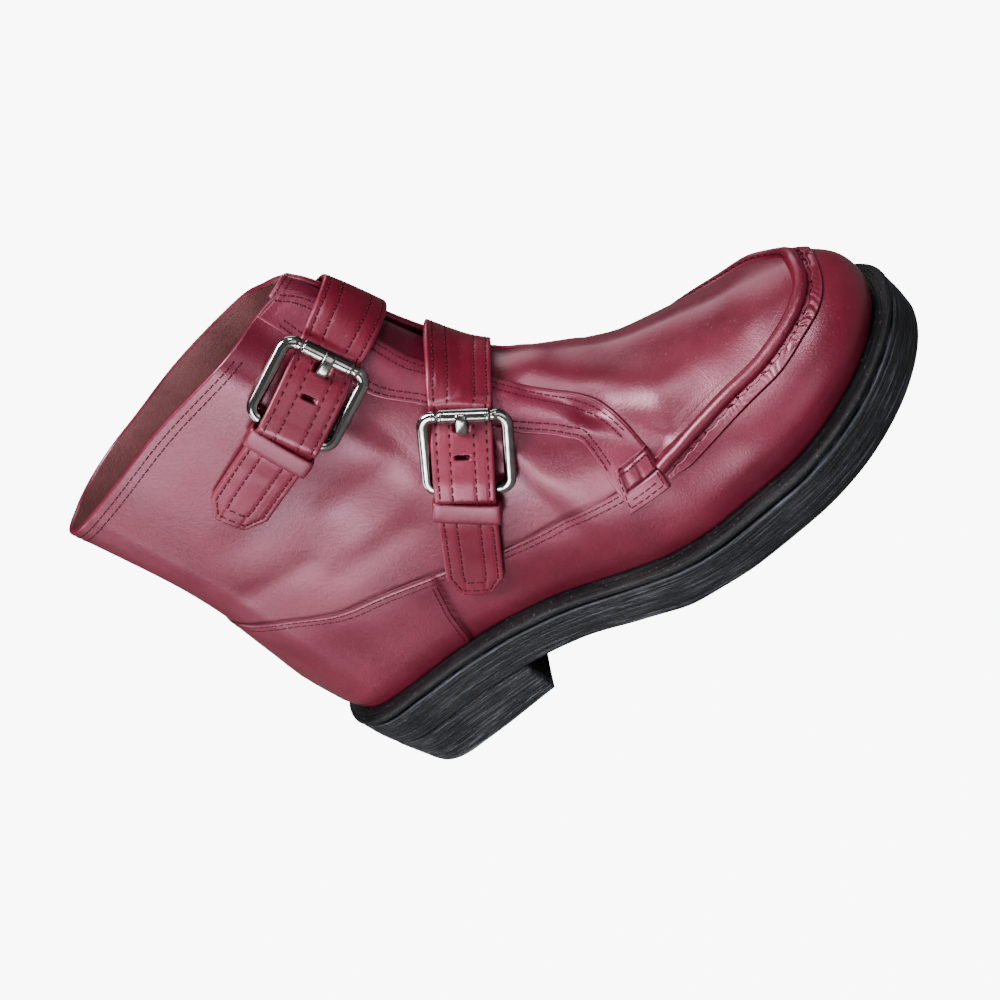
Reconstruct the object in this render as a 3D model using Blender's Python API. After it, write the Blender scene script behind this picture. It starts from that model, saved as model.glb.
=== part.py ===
"""Ankle boot for the right foot: leather upper with a moccasin toe and two buckled straps.

Frame: +X to the toe, +Y to the inner (medial) side, +Z up, floor at z = 0, origin at the
middle of the heel's floor face. Tables and lengths are in millimetres; x in the tables is
measured from the back of the sole. MM and place() turn them into the model's metres.
"""
import bmesh
import bpy
import numpy as np

MM = 0.001
MERGE = 0.04                 # points closer than this are one
SLOPE_STEP = 0.3             # either side of a point when its slope is measured
GAP = 0.3                    # air between two pieces that touch

# ---------------------------------------------------------------- driving sizes
SOLE_LENGTH = 284.0
MIDSOLE_THICKNESS = 4.0
HEEL_LENGTH = 84.0           # back of the sole to the heel breast
HEEL_X = 36.0                # middle of the round back of the last
TOE_X = 215.0                # middle of the round toe of the last
ORIGIN_X = 43.0              # middle of the heel's floor face
WALL = 2.2                   # leather and lining of the upper
FEATHER_INSET = 7.5          # sole edge to the upper's bottom edge
BULGE_INSET = 5.0            # sole edge to the fullest line of the upper
BULGE_RISE = 12.0            # that line above the top of the sole
BULGE_DROP = 4.0             # how much lower it runs round the toe
INSOLE_THICKNESS = 3.0
OPEN_TOP = 200.0             # the shaft's form runs up to here before its topline is cut
HOLLOW_TOP = 215.0           # its hollow runs through that, and through the floor
HOLLOW_DROP = 6.0

HEEL_PLAN_POWER = 2.1
TOE_PLAN_POWER = 1.95
TOE_RISE_POWER = 2.6

# Half widths of the sole at each station.
PLAN = {
    "x": (36, 60, 85, 110, 140, 165, 190, 215),
    "lateral": (34.5, 35.5, 35.5, 37.0, 43.0, 49.5, 53.0, 52.5),
    "medial": (32.0, 31.0, 28.5, 27.5, 32.0, 39.5, 46.5, 49.5),
}
# Top of the midsole and underside of the outsole: heel pitch, arch, flat tread, toe spring.
SOLE_TOP = {
    "x": (0, 60, 84, 120, 150, 175, 215, 250, 284),
    "z": (43.5, 42.0, 39.2, 31.5, 24.0, 20.6, 20.6, 23.5, 29.0),
}
SOLE_UNDER = {
    "x": (0, 60, 84, 110, 135, 158, 206, 235, 260, 284),
    "z": (22.9, 21.4, 18.6, 13.0, 5.0, 0.0, 0.0, 1.6, 4.6, 9.0),
}
# Cross sections of the upper: height of the crest (beyond the collar where the shaft is
# open) and how square the section is.
SECTION = {
    "x": (36, 60, 85, 110, 130, 147, 160, 175, 190, 205, 220, 240, 279),
    "crest": (420, 420, 420, 400, 222, 176, 122, 102, 88, 79, 72.5, 65.5, 63),
    "power": (1.7, 1.7, 1.7, 1.7, 1.5, 1.4, 1.8, 1.8, 1.7, 1.6, 1.55, 1.6, 1.8),
}
# Back of the heel counter and shaft, and the waist of the ankle, by height.
BACK = {"z": (40, 55, 70, 90, 115, 140, 165, 186), "x": (7.5, 4.5, 4.0, 7.0, 11.5, 13.0, 11.5, 9.5)}
FLARE = {"z": (55, 90, 120, 150, 186), "y": (0, -1.0, -2.5, -0.5, 2.5)}
# Topline from the back round to the rounded front corner of the quarter.
COLLAR = {"x": (10, 36, 85, 125, 136, 141, 144.5), "z": (180, 182, 185, 184, 182.5, 179.5, 173)}
FACING_FOOT = (146.0, 168.0)   # x and z where the topline drops in front of the quarter
# Half width of the open throat between the quarters.
THROAT = {"x": (144.5, 147, 150, 155, 160, 164, 166.5, 168), "y": (9.6, 10.8, 14.2, 16.5, 15.5, 11.5, 6.5, 0)}
THROAT_LOW = 90.0            # below the throat's end on the instep

# Tongue: half width from its top edge down to its end under the vamp.
TONGUE_THICKNESS = 2.0
TONGUE_TOP = 184.0
TONGUE_END = 183.0           # x of its lower end
TONGUE_INSET = WALL + 0.6
TONGUE_TUCK = 0.9            # further in at its long edges
TONGUE_HALF = {"x": (0.0, 0.3, 0.55, 1.0), "y": (14.0, 16.8, 21.0, 19.0)}

# Straps. Each lies on the form in a stack of parallel planes: direction is the planes'
# normal in x and z, offset the middle plane, half how far the stack reaches. s runs from 0
# on the crest, + down the lateral side and - down the medial side; w runs across the
# strap; h stands off the form. Along s: medial end, roller, heel bar, keeper from and to,
# tip of the tail. aside: how far the frame has slid across. far: x where the ground ends.
STRAPS = {
    "front": {"direction": (0.722, -0.692), "offset": 31.5, "half": 12.3, "far": {"lateral": 84.0, "medial": 104.0},
              "end": -74.0, "roller": 29.6, "bar": 56.1, "keeper": (60.9, 68.4), "tip": 106.0, "aside": 1.5},
    "rear": {"direction": (0.174, -0.985), "offset": -132.0, "half": 12.0, "far": {"lateral": 54.0, "medial": 76.0},
             "end": -64.0, "roller": 26.0, "bar": 52.5, "keeper": (57.4, 64.9), "tip": 100.5, "aside": -0.5},
}
STRAP_THICKNESS = 2.2
STRAP_HALF = 10.8            # past the buckle
WIDE_HALF = 11.9             # on the crest and the medial side
TAPER = 8.0                  # length of the tail's point
TIP_HALF = 6.0
CHAPE_THICKNESS = 0.9
CHAPE_END = 24.0             # from the heel bar
KEEPER_THICKNESS = 1.0

# Buckle.
ROD = 1.7                    # radius of the frame's rod
ROD_SIDES = 8
FRAME_HALF = 14.6            # middle of the rod, across the strap
FRAME_CORNER = 4.0
ROLLER_IN, ROLLER_OUT = 1.9, 2.5
ROLLER_HALF = 9.0
ROLLER_SIDES = 12
PRONG_HALF = 1.9
PRONG_THIN, PRONG_THICK = 0.35, 0.75   # half thickness of its loop and of its shank
SLOT_CLEAR = 0.5             # each side of the prong in the leather
PRONG_HOLE = (15.9, 23.4)    # the strap's hole, from the heel bar to the roller

# Heights over the form where the straps run.
LIFT = 0.35                  # leather laid on the form
OVER_THROAT = 0.8
UNDER_ROLLER = 1.5
CLEAR = 0.25                 # air round the rod and the chape
BAR_H = 0.95 + CHAPE_THICKNESS + CLEAR + ROD
OVER_BAR = BAR_H + ROD + CLEAR + CHAPE_THICKNESS + CLEAR
OVER_CHAPE = 2.0             # where the tail comes down past the chape's end
ROLLER_H = UNDER_ROLLER + STRAP_THICKNESS + LIFT + ROLLER_OUT
KEEPER_LOW = 0.8 + CHAPE_THICKNESS + GAP
IN_KEEPER = KEEPER_LOW + KEEPER_THICKNESS + 0.4
BAND_STEP = 1.5
# Underside of the strap in the buckle's axes, from the roller (0) to the heel bar (1).
STIFF_LEVEL = {
    "x": (-0.2, 0.05, 0.18, 0.3, 0.45, 0.65, 0.9, 1.1),
    "z": (-ROLLER_OUT - LIFT - STRAP_THICKNESS, -ROLLER_OUT - LIFT - STRAP_THICKNESS, -3.5, -1.7, 0.1, 1.6,
          ROD + 2 * CLEAR + CHAPE_THICKNESS, ROD + 2 * CLEAR + CHAPE_THICKNESS),
}

# Moccasin ridge: where it starts, its foremost point, where it turns across the toe, how
# far its medial end draws in to stay level with the lateral one on the steeper side, and
# its section as steps outward and up from the form.
RIDGE_FROM, RIDGE_TO, RIDGE_TURN = 190.8, 264.3, 225.0
RIDGE_MIDDLE = -0.8
RIDGE_HALF, RIDGE_NARROWS, RIDGE_POWER = 41.2, 0.245, 2.8
MEDIAL_IN, MEDIAL_IN_FROM, MEDIAL_IN_OVER = 4.1, 232.0, 42.0
RIDGE_SECTION = ((-3.2, 0.55), (-3.0, 1.9), (-1.8, 3.2), (0.0, 3.7), (1.8, 3.2), (3.0, 1.9), (3.2, 0.55), (0.0, 0.5))

# Tab over the start of the ridge, one each side: corners in x and z on the form's flank,
# and its two faces over the form.
TAB = {"x": ((169.0, 176.0), (187.0, 189.6)), "z": ((48.5, 63.0), (47.5, 61.5))}
TAB_LOW, TAB_HIGH = 0.35, 2.7


# ---------------------------------------------------------------- interpolation
def smooth(table, column, x):
    """Cubic through the rows of a table, with slopes limited so that it never overshoots."""
    rows = np.asarray(table["x" if column != "x" and "x" in table else "z"], float)
    values = np.asarray(table[column], float)
    span = np.diff(rows)
    slope = np.diff(values) / span
    same_way = slope[:-1] * slope[1:] > 0
    total = np.where(same_way, slope[:-1] + slope[1:], 1.0)
    inner = np.where(same_way, 2.0 * slope[:-1] * slope[1:] / total, 0.0)
    tangent = np.concatenate(([slope[0]], inner, [slope[-1]]))
    x = np.clip(np.asarray(x, float), rows[0], rows[-1])
    i = np.clip(np.searchsorted(rows, x, side="right") - 1, 0, len(rows) - 2)
    t = (x - rows[i]) / span[i]
    return ((1 + 2 * t) * (1 - t) ** 2 * values[i] + t * (1 - t) ** 2 * span[i] * tangent[i]
            + t * t * (3 - 2 * t) * values[i + 1] + t * t * (t - 1) * span[i] * tangent[i + 1])


def arc(angle, power):
    """Cosine and sine sides of a superellipse: (c, s) with c**power + s**power = 1."""
    return (np.maximum(np.cos(angle), 0.0) ** (2.0 / power),
            np.maximum(np.sin(angle), 0.0) ** (2.0 / power))


def sole_top(x):
    return smooth(SOLE_TOP, "z", x)


def sole_under(x):
    return smooth(SOLE_UNDER, "z", x)


def half_width(x, side):
    return smooth(PLAN, side, x)


def sign_of(side):
    return -1.0 if side == "lateral" else 1.0


def toe_close(x, inset, power):
    """Factor from 1 at the ball to 0 at the toe's end, along a superellipse."""
    q = np.clip((x - TOE_X) / (SOLE_LENGTH - inset - TOE_X), 0.0, 1.0)
    return np.maximum(1.0 - q ** power, 0.0) ** (1.0 / power)


# ---------------------------------------------------------------- the form of the upper
def bulge_z(x):
    """Height of the upper's fullest line; it sits a little lower round the toe."""
    return sole_top(x) + BULGE_RISE - BULGE_DROP * np.clip((x - TOE_X) / 60.0, 0.0, 1.0)


def crest_row(x, inset):
    """The crest table, set in by a distance square to its slope."""
    if inset == 0.0:
        return smooth(SECTION, "crest", x)
    shift = np.zeros_like(np.asarray(x, float))
    for _ in range(4):
        at = x + shift
        rise = smooth(SECTION, "crest", at + SLOPE_STEP) - smooth(SECTION, "crest", at - SLOPE_STEP)
        slope = rise / (2.0 * SLOPE_STEP)
        length = np.sqrt(1.0 + slope * slope)
        shift = -inset * slope / length
    return smooth(SECTION, "crest", x + shift) - inset / length


def crest_z(x, inset=0.0):
    low = bulge_z(x)
    rise = crest_row(x, inset) - low
    return low + rise * toe_close(x, BULGE_INSET + inset, TOE_RISE_POWER)


def waist(x, z):
    """Sideways change of the shaft by height, fading out toward the instep."""
    share = np.clip((135.0 - x) / 40.0, 0.0, 1.0)
    return smooth(FLARE, "y", z) * share * share * (3.0 - 2.0 * share)


def top_z(x, y, inset=0.0):
    """Height of the form over a plan point of the instep or the toe."""
    side_width = np.where(y < 0, half_width(x, "lateral"), half_width(x, "medial"))
    wide = (side_width - BULGE_INSET - inset) * toe_close(x, BULGE_INSET + inset, TOE_PLAN_POWER)
    power = smooth(SECTION, "power", x)
    share = np.clip(np.abs(y) / np.maximum(wide, 1e-6), 0.0, 1.0)
    low = bulge_z(x)
    return low + (crest_z(x, inset) - low) * (1.0 - share ** power) ** (1.0 / power)


def wall_y(x, z, side):
    """Half width of the form at a height, between its heel and toe centres."""
    wide = (half_width(x, side) - BULGE_INSET) * toe_close(x, BULGE_INSET, TOE_PLAN_POWER)
    power = smooth(SECTION, "power", x)
    low = bulge_z(x)
    share = np.clip((z - low) / (crest_z(x) - low), 0.0, 1.0)
    return wide * (1.0 - share ** power) ** (1.0 / power) + waist(x, z)


def form_grid(fan, rise, side, inset, top):
    """Surface of the form. fan: 0-1 round the heel, 1-2 along the foot, 2-3 round the toe.
    rise: -1 at the bottom edge, 0 at the fullest line, 1 at the crest or at height top."""
    fan, rise = np.broadcast_arrays(np.asarray(fan, float), np.asarray(rise, float))
    x_mid = np.clip(HEEL_X + (TOE_X - HEEL_X) * (fan - 1.0), HEEL_X, TOE_X)
    wide = half_width(x_mid, side) - BULGE_INSET - inset
    bottom = sole_top(x_mid) + GAP
    low = bulge_z(x_mid)
    crest = crest_row(x_mid, inset)
    power = smooth(SECTION, "power", x_mid)
    share = np.clip((top - low) / (crest - low), 0.0, 1.0)
    last = np.where(crest > top, np.arcsin(share ** (power / 2.0)), np.pi / 2.0)
    angle = np.clip(rise, 0.0, 1.0) * last
    out, up = arc(angle, power)
    under = np.clip(-rise, 0.0, 1.0)
    tuck = (FEATHER_INSET - BULGE_INSET) * under ** 2
    y = wide * out - tuck
    z = low + (crest - low) * up - (low - bottom) * under
    y = y + waist(x_mid, z)
    # round the heel
    heel_c, heel_s = arc(np.pi / 2.0 * np.clip(fan, 0.0, 1.0), HEEL_PLAN_POWER)
    at_heel = fan < 1.0
    reach = HEEL_X - smooth(BACK, "x", z) - inset
    x = np.where(at_heel, HEEL_X - reach * heel_c, x_mid)
    y = np.where(at_heel, y * heel_s, y)
    z = np.where(at_heel, z + (sole_top(x) + GAP - bottom) * under, z)
    # round the toe
    toe_x, toe_y = arc(np.pi / 2.0 * (1.0 - np.clip(fan - 2.0, 0.0, 1.0)), TOE_PLAN_POWER)
    at_toe = fan > 2.0
    x_toe = TOE_X + ((SOLE_LENGTH - BULGE_INSET - inset - TOE_X) * out - tuck) * toe_x
    y_toe = (wide * out - tuck) * toe_y
    z_toe = np.where(rise >= 0.0, top_z(x_toe, sign_of(side) * y_toe, inset),
                     bulge_z(x_toe) - (bulge_z(x_toe) - sole_top(x_toe) - GAP) * under)
    x = np.where(at_toe, x_toe, x)
    y = np.where(at_toe, y_toe, y)
    z = np.where(at_toe, z_toe, z)
    return np.stack([x, sign_of(side) * y, z], -1)


# ---------------------------------------------------------------- mesh helpers
def collection(name):
    group = bpy.data.collections.new(name)
    bpy.context.scene.collection.children.link(group)
    return group


def finish(name, colour, roughness, metallic=0.0):
    material = bpy.data.materials.new(name)
    material.use_nodes = True
    shader = material.node_tree.nodes["Principled BSDF"]
    shader.inputs["Base Color"].default_value = (*colour, 1.0)
    shader.inputs["Roughness"].default_value = roughness
    shader.inputs["Metallic"].default_value = metallic
    return material


def solid(name, points, faces, material, group):
    """An object from points in table millimetres; doubles merged, faces out."""
    mesh = bpy.data.meshes.new(name)
    placed = (np.asarray(points, float) - (ORIGIN_X, 0.0, 0.0)) * MM
    mesh.from_pydata(placed.tolist(), [], faces)
    work = bmesh.new()
    work.from_mesh(mesh)
    bmesh.ops.remove_doubles(work, verts=work.verts, dist=MERGE * MM)
    bmesh.ops.dissolve_degenerate(work, edges=work.edges, dist=MERGE * MM / 2.0)
    bmesh.ops.recalc_face_normals(work, faces=work.faces)
    work.to_mesh(mesh)
    work.free()
    mesh.materials.append(material)
    part = bpy.data.objects.new(name, mesh)
    group.objects.link(part)
    return part


def grid_faces(rows, columns, wrap_rows=False, wrap_columns=False, start=0):
    faces = []
    for i in range(rows if wrap_rows else rows - 1):
        for j in range(columns if wrap_columns else columns - 1):
            a = start + i * columns + j
            b = start + i * columns + (j + 1) % columns
            c = start + ((i + 1) % rows) * columns + (j + 1) % columns
            d = start + ((i + 1) % rows) * columns + j
            faces.append((a, b, c, d))
    return faces


def loft(name, rings, material, group, closed=False):
    """A solid through rings of equal point counts, capped at both ends unless closed."""
    rings = np.asarray(rings, float)
    count, size = rings.shape[:2]
    faces = grid_faces(count, size, wrap_rows=closed, wrap_columns=True)
    if not closed:
        faces.append(tuple(range(size)))
        faces.append(tuple(range((count - 1) * size, count * size)))
    return solid(name, rings.reshape(-1, 3), faces, material, group)


def cut(part, cutter):
    modifier = part.modifiers.new(cutter.name, "BOOLEAN")
    modifier.operation = "DIFFERENCE"
    modifier.object = cutter
    modifier.solver = "EXACT"


def as_cutter(part):
    part.hide_render = True
    part.display_type = "WIRE"
    return part


for old in list(bpy.data.objects):
    bpy.data.objects.remove(old, do_unlink=True)
BOOT = collection("ankle_boot")
CUTTERS = collection("cutters")
BURGUNDY = finish("burgundy_leather", (0.20, 0.022, 0.045), 0.35)
LINING = finish("lining_leather", (0.36, 0.13, 0.12), 0.6)
RUBBER = finish("black_sole", (0.012, 0.012, 0.014), 0.55)
NICKEL = finish("polished_nickel", (0.62, 0.60, 0.58), 0.12, 1.0)

# ---------------------------------------------------------------- sole
# The outline in plan: superellipse round the heel, PLAN rows along the foot, superellipse
# round the toe. Fan values as for the upper, here run once round the whole sole.
HEEL_FAN = np.linspace(0.0, 1.0, 9)
FOOT_FAN = 1.0 + (np.array((36, 48, 60, 72, 84, 97, 110, 123, 135, 146, 156, 166, 178, 190, 203, 215))
                  - HEEL_X) / (TOE_X - HEEL_X)
TOE_FAN = np.linspace(2.0, 3.0, 12)
SOLE_FAN = np.concatenate((HEEL_FAN[:-1], FOOT_FAN, TOE_FAN[1:]))


def sole_outline(inset, side, fan=SOLE_FAN):
    x = np.clip(HEEL_X + (TOE_X - HEEL_X) * (fan - 1.0), HEEL_X, TOE_X)
    y = half_width(x, side) - inset
    heel_c, heel_s = arc(np.pi / 2.0 * np.clip(fan, 0.0, 1.0), HEEL_PLAN_POWER)
    toe_x, toe_y = arc(np.pi / 2.0 * (1.0 - np.clip(fan - 2.0, 0.0, 1.0)), TOE_PLAN_POWER)
    x = np.where(fan < 1.0, HEEL_X - (HEEL_X - inset) * heel_c, x)
    x = np.where(fan > 2.0, TOE_X + (SOLE_LENGTH - inset - TOE_X) * toe_x, x)
    y = np.where(fan < 1.0, y * heel_s, np.where(fan > 2.0, y * toe_y, y))
    return x, sign_of(side) * y


def round_sole(inset):
    """The whole outline once round: lateral side heel to toe, medial side back again."""
    x1, y1 = sole_outline(inset, "lateral")
    x2, y2 = sole_outline(inset, "medial")
    return (np.concatenate((x1, x2[::-1][1:-1])), np.concatenate((y1, y2[::-1][1:-1])))


def ribbed(name, rings, material, group, pointed):
    """A solid through rings that run out along the lateral side and back along the medial
    side. Its ends are ribs straight across, so that they bend with the foot. pointed: the
    rings close on one point at the toe; otherwise on a straight edge."""
    rings = np.array(rings)
    count, size = rings.shape[:2]
    faces = grid_faces(count, size, wrap_columns=True)
    last = size // 2 - 1 if pointed else (size - 1) // 2
    for base in (0, (count - 1) * size):
        faces.append((base, base + 1, base + size - 1))
        for i in range(1, last):
            faces.append((base + i, base + i + 1, base + size - i - 1, base + size - i))
        if pointed:
            faces.append((base + last, base + last + 1, base + last + 2))
    return solid(name, rings.reshape(-1, 3), faces, material, group)


def plate(name, layers, material, group):
    """A closed layer of the sole. Each layer row: inset of the outline, height function."""
    rings = []
    for inset, height in layers:
        x, y = round_sole(inset)
        rings.append(np.stack([x, y, height(x)], -1))
    return ribbed(name, rings, material, group, pointed=True)


def level(base, offset):
    return lambda x: base(x) + offset


plate("midsole", [
    (7.0, level(sole_top, 0.0)), (1.2, level(sole_top, 0.0)), (0.0, level(sole_top, -1.0)),
    (0.0, level(sole_top, -2.8)), (1.6, level(sole_top, -MIDSOLE_THICKNESS)),
], RUBBER, BOOT)
plate("outsole", [
    (1.6, level(sole_top, -MIDSOLE_THICKNESS - GAP)), (0.4, level(sole_top, -MIDSOLE_THICKNESS - 1.6)),
    (0.0, level(sole_top, -MIDSOLE_THICKNESS - 3.0)), (0.6, level(sole_under, 1.2)),
    (1.8, level(sole_under, 0.0)),
], RUBBER, BOOT)

# Heel block: top under the outsole, then down to the tread. Each row: share of the way
# down, inset of the outline, how far the back and the breast come in.
HEEL_ROWS = {
    "down": (0.0, 0.12, 0.85, 0.96, 1.0),
    "inset": (1.2, 1.0, 2.2, 2.6, 3.6),
    "back": (0.4, 0.6, 3.2, 4.0, 5.2),
    "breast": (0.0, 0.0, 1.4, 1.6, 2.4),
}
heel_fan = SOLE_FAN[SOLE_FAN <= 1.0 + (HEEL_LENGTH - HEEL_X) / (TOE_X - HEEL_X) + 1e-9]
heel_rings = []
for down, inset, back, breast in zip(*HEEL_ROWS.values()):
    sides = []
    for side in ("lateral", "medial"):
        x, y = sole_outline(inset, side, heel_fan)
        along = np.clip(x / HEEL_LENGTH, 0.0, 1.0)
        x = x + (back - inset) * (1.0 - along) ** 2 - breast * along ** 4
        z = (sole_under(x) - GAP) * (1.0 - down)
        sides.append(np.stack([x, y, z], -1))
    heel_rings.append(np.concatenate((sides[0], sides[1][::-1][:-1])))
ribbed("heel", heel_rings, RUBBER, BOOT, pointed=False)

# Insole: lies on the midsole inside the upper's bottom edge.
insole_inset = FEATHER_INSET + WALL + GAP
plate("insole", [
    (insole_inset, level(sole_top, GAP)),
    (insole_inset, level(sole_top, GAP + INSOLE_THICKNESS)),
], LINING, BOOT)

# ---------------------------------------------------------------- upper
RISE = np.array((-1.0, -0.55, 0.0, 0.13, 0.26, 0.38, 0.49, 0.59, 0.68, 0.77, 0.86, 0.93, 1.0))
SHAFT_X = np.array((36, 47, 58, 70, 82, 95, 108, 119, 129, 137, 143, 147, 150, 153, 156, 160, 165,
                    170, 176, 183, 191, 199, 207, 215))
UPPER_FAN = np.concatenate((np.linspace(0.0, 1.0, 8)[:-1], 1.0 + (SHAFT_X - HEEL_X) / (TOE_X - HEEL_X),
                            np.linspace(2.0, 3.0, 10)[1:]))


def shell_form(name, inset, top, drop, group):
    """The form closed top and bottom: both sides, a lid over the shaft, a floor that is
    lowered by drop."""
    grids = [form_grid(UPPER_FAN[:, None], RISE[None, :], side, inset, top) for side in ("lateral", "medial")]
    for grid in grids:
        grid[:, 0, 2] -= drop
    rows, columns = grids[0].shape[:2]
    faces = []
    for side in (0, 1):
        faces += grid_faces(rows, columns, start=side * rows * columns)
    for j in (0, columns - 1):
        for i in range(rows - 1):
            a = i * columns + j
            b = (i + 1) * columns + j
            other = rows * columns
            faces.append((a, b, b + other, a + other))
    points = np.concatenate([grid.reshape(-1, 3) for grid in grids])
    return solid(name, points, faces, BURGUNDY, group)


def block(name, rings):
    """A cutter through two rings of points."""
    return as_cutter(loft(name, rings, BURGUNDY, CUTTERS))


upper = shell_form("upper", 0.0, OPEN_TOP, 0.0, BOOT)
hollow = as_cutter(shell_form("upper_hollow", WALL, HOLLOW_TOP, HOLLOW_DROP, CUTTERS))
cut(upper, hollow)
# What the cutters take away reaches past the upper on every side.
past_back, past_front, past_side, past_top = -5.0, 175.0, 80.0, HOLLOW_TOP + 15.0
collar_x = np.concatenate((np.linspace(past_back, 125.0, 14), np.linspace(130.0, COLLAR["x"][-1], 8)))
collar_line = [(x, float(smooth(COLLAR, "z", x))) for x in collar_x]
collar_line += [FACING_FOOT, (past_front, FACING_FOOT[1]), (past_front, past_top), (past_back, past_top)]
cut(upper, block("topline", [[(x, y, z) for x, z in collar_line] for y in (-past_side, past_side)]))
throat_x = np.array((144.5, 147, 150, 153, 156, 159, 162, 164.5, 166.5, 168))
throat_y = smooth(THROAT, "y", throat_x)
throat_from = 120.0          # inside the open shaft
slot = [(x, -y) for x, y in zip(throat_x, throat_y)] + [(x, y) for x, y in zip(throat_x, throat_y)][::-1][1:]
slot = [(throat_from, -throat_y[0])] + slot + [(throat_from, throat_y[0])]
cut(upper, block("throat", [[(x, y, z) for x, y in slot] for z in (THROAT_LOW, past_top)]))

# ---------------------------------------------------------------- tongue
tongue_points = []
for v in np.linspace(0.0, 1.0, 22):
    row = []
    for u in np.linspace(-1.0, 1.0, 11):
        y = u * float(smooth(TONGUE_HALF, "y", v))
        depth = TONGUE_INSET + TONGUE_TUCK * abs(u) ** 3
        x = np.linspace(136.0, 165.0, 1200)
        x_top = float(x[np.argmin(np.abs(top_z(x, y, depth) - TONGUE_TOP))])
        x_here = x_top + (TONGUE_END - x_top) * (0.35 * v + 0.65 * v * v)
        row.append((x_here, y, float(top_z(x_here, y, depth))))
    tongue_points.append(row)
tongue_points = np.array(tongue_points)
across = np.gradient(tongue_points, axis=1)
along = np.gradient(tongue_points, axis=0)
normal = np.cross(along, across)
normal /= np.linalg.norm(normal, axis=-1)[..., None]
normal *= np.sign(normal[..., 0:1] + normal[..., 2:3])
under = tongue_points - TONGUE_THICKNESS * normal
rings = [np.concatenate((top_row, low_row[::-1])) for top_row, low_row in zip(tongue_points, under)]
loft("tongue", rings, BURGUNDY, BOOT)

# ---------------------------------------------------------------- straps and buckles
def hull_path(flat):
    """The stretched path over a row of 2-D points: its convex side, ends kept."""
    path = []
    for point in flat:
        while len(path) > 1:
            a = path[-1] - path[-2]
            b = point - path[-1]
            if a[0] * b[1] - a[1] * b[0] < 0.0:
                break
            path.pop()
        path.append(point)
    return np.array(path)


def band_line(direction, offset, far):
    """One plane's stretched path over the form, and its lengths from the crest."""
    nx, nz = direction
    x = np.linspace(120.0, 200.0, 4001)
    crest_x = float(x[np.argmin(np.abs(crest_z(x) - (offset - nx * x) / nz))])
    flat = []
    for side in ("medial", "lateral"):
        run = np.linspace(0.0, 1.0, 260) ** 2 * (crest_x - far[side])
        x_run = crest_x - run
        z_run = (offset - nx * x_run) / nz
        y_run = sign_of(side) * np.where(run > 0, wall_y(x_run, z_run, side), 0.0)
        rise = x_run * -nz + z_run * nx
        half = np.stack([-y_run, rise], -1)
        flat.append(half[::-1] if side == "medial" else half[1:])
    stretched = hull_path(np.concatenate(flat))
    length = np.concatenate(([0.0], np.cumsum(np.linalg.norm(np.diff(stretched, axis=0), axis=1))))
    top = float(np.interp(0.0, stretched[:, 0], length))
    return stretched, length - top


class Band:
    """The ground under one strap, as a table of points and normals to look up."""

    def __init__(self, place):
        (nx, nz), offset, bar = place["direction"], place["offset"], place["bar"]
        self.w = np.linspace(-place["half"], place["half"], 7)
        lines = [band_line(place["direction"], offset + w, place["far"]) for w in self.w]
        # at the heel bar, every line starts square across from the middle one
        flat, length = lines[len(lines) // 2]
        spot = np.array([np.interp(bar, length, flat[:, k]) for k in (0, 1)])
        course = spot - np.array([np.interp(place["roller"], length, flat[:, k]) for k in (0, 1)])
        squared = []
        for flat, length in lines:
            past = (flat - spot) @ course
            beyond = length > 20.0
            squared.append((flat, length - float(np.interp(0.0, past[beyond], length[beyond])) + bar))
        lines = squared
        low = max(line[1][0] for line in lines)
        high = min(line[1][-1] for line in lines)
        self.s = np.arange(low, high, BAND_STEP)
        rows = []
        for w, (flat, length) in zip(self.w, lines):
            y = -np.interp(self.s, length, flat[:, 0])
            rise = np.interp(self.s, length, flat[:, 1])
            x = (offset + w) * nx - nz * rise
            z = (offset + w) * nz + nx * rise
            rows.append(np.stack([x, y, z], -1))
        self.points = np.array(rows)
        ds = np.gradient(self.points, axis=1)
        dw = np.gradient(self.points, axis=0)
        normals = np.cross(ds, dw)
        normals /= np.linalg.norm(normals, axis=-1)[..., None]
        self.normals = normals

    def at(self, s, w, h=0.0):
        """A point of the band's space, by linear look-up."""
        s, w, h = np.broadcast_arrays(*(np.asarray(v, float) for v in (s, w, h)))
        i = np.clip((s - self.s[0]) / BAND_STEP, 0, len(self.s) - 1.001)
        j = np.clip((w - self.w[0]) / (self.w[1] - self.w[0]), -0.4, len(self.w) - 0.6)
        i0 = i.astype(int)
        j0 = np.clip(j.astype(int), 0, len(self.w) - 2)
        fi = (i - i0)[..., None]
        fj = (j - j0)[..., None]

        def mix(table):
            near = table[j0, i0] * (1 - fi) + table[j0, i0 + 1] * fi
            next_ = table[j0 + 1, i0] * (1 - fi) + table[j0 + 1, i0 + 1] * fi
            return near * (1 - fj) + next_ * fj

        return mix(self.points) + mix(self.normals) * h[..., None]


def strap_base(place, s):
    """Height of the strap's underside over the form."""
    roller, bar, chape_end = place["roller"], place["bar"], place["bar"] + CHAPE_END
    heights = (
        (place["end"], LIFT), (-48.0, LIFT), (-32.0, OVER_THROAT), (roller - 12.0, OVER_THROAT),
        (roller + 1.0, UNDER_ROLLER), (bar - 2.0, OVER_BAR), (bar + 1.5, OVER_BAR),
        (place["keeper"][0], IN_KEEPER), (place["keeper"][1], IN_KEEPER), (chape_end - 2.0, OVER_CHAPE + 0.2),
        (chape_end + 2.0, OVER_CHAPE), (chape_end + 10.0, LIFT), (place["tip"], LIFT),
    )
    along, height = zip(*heights)
    return smooth({"x": along, "z": height}, "z", s)


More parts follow.
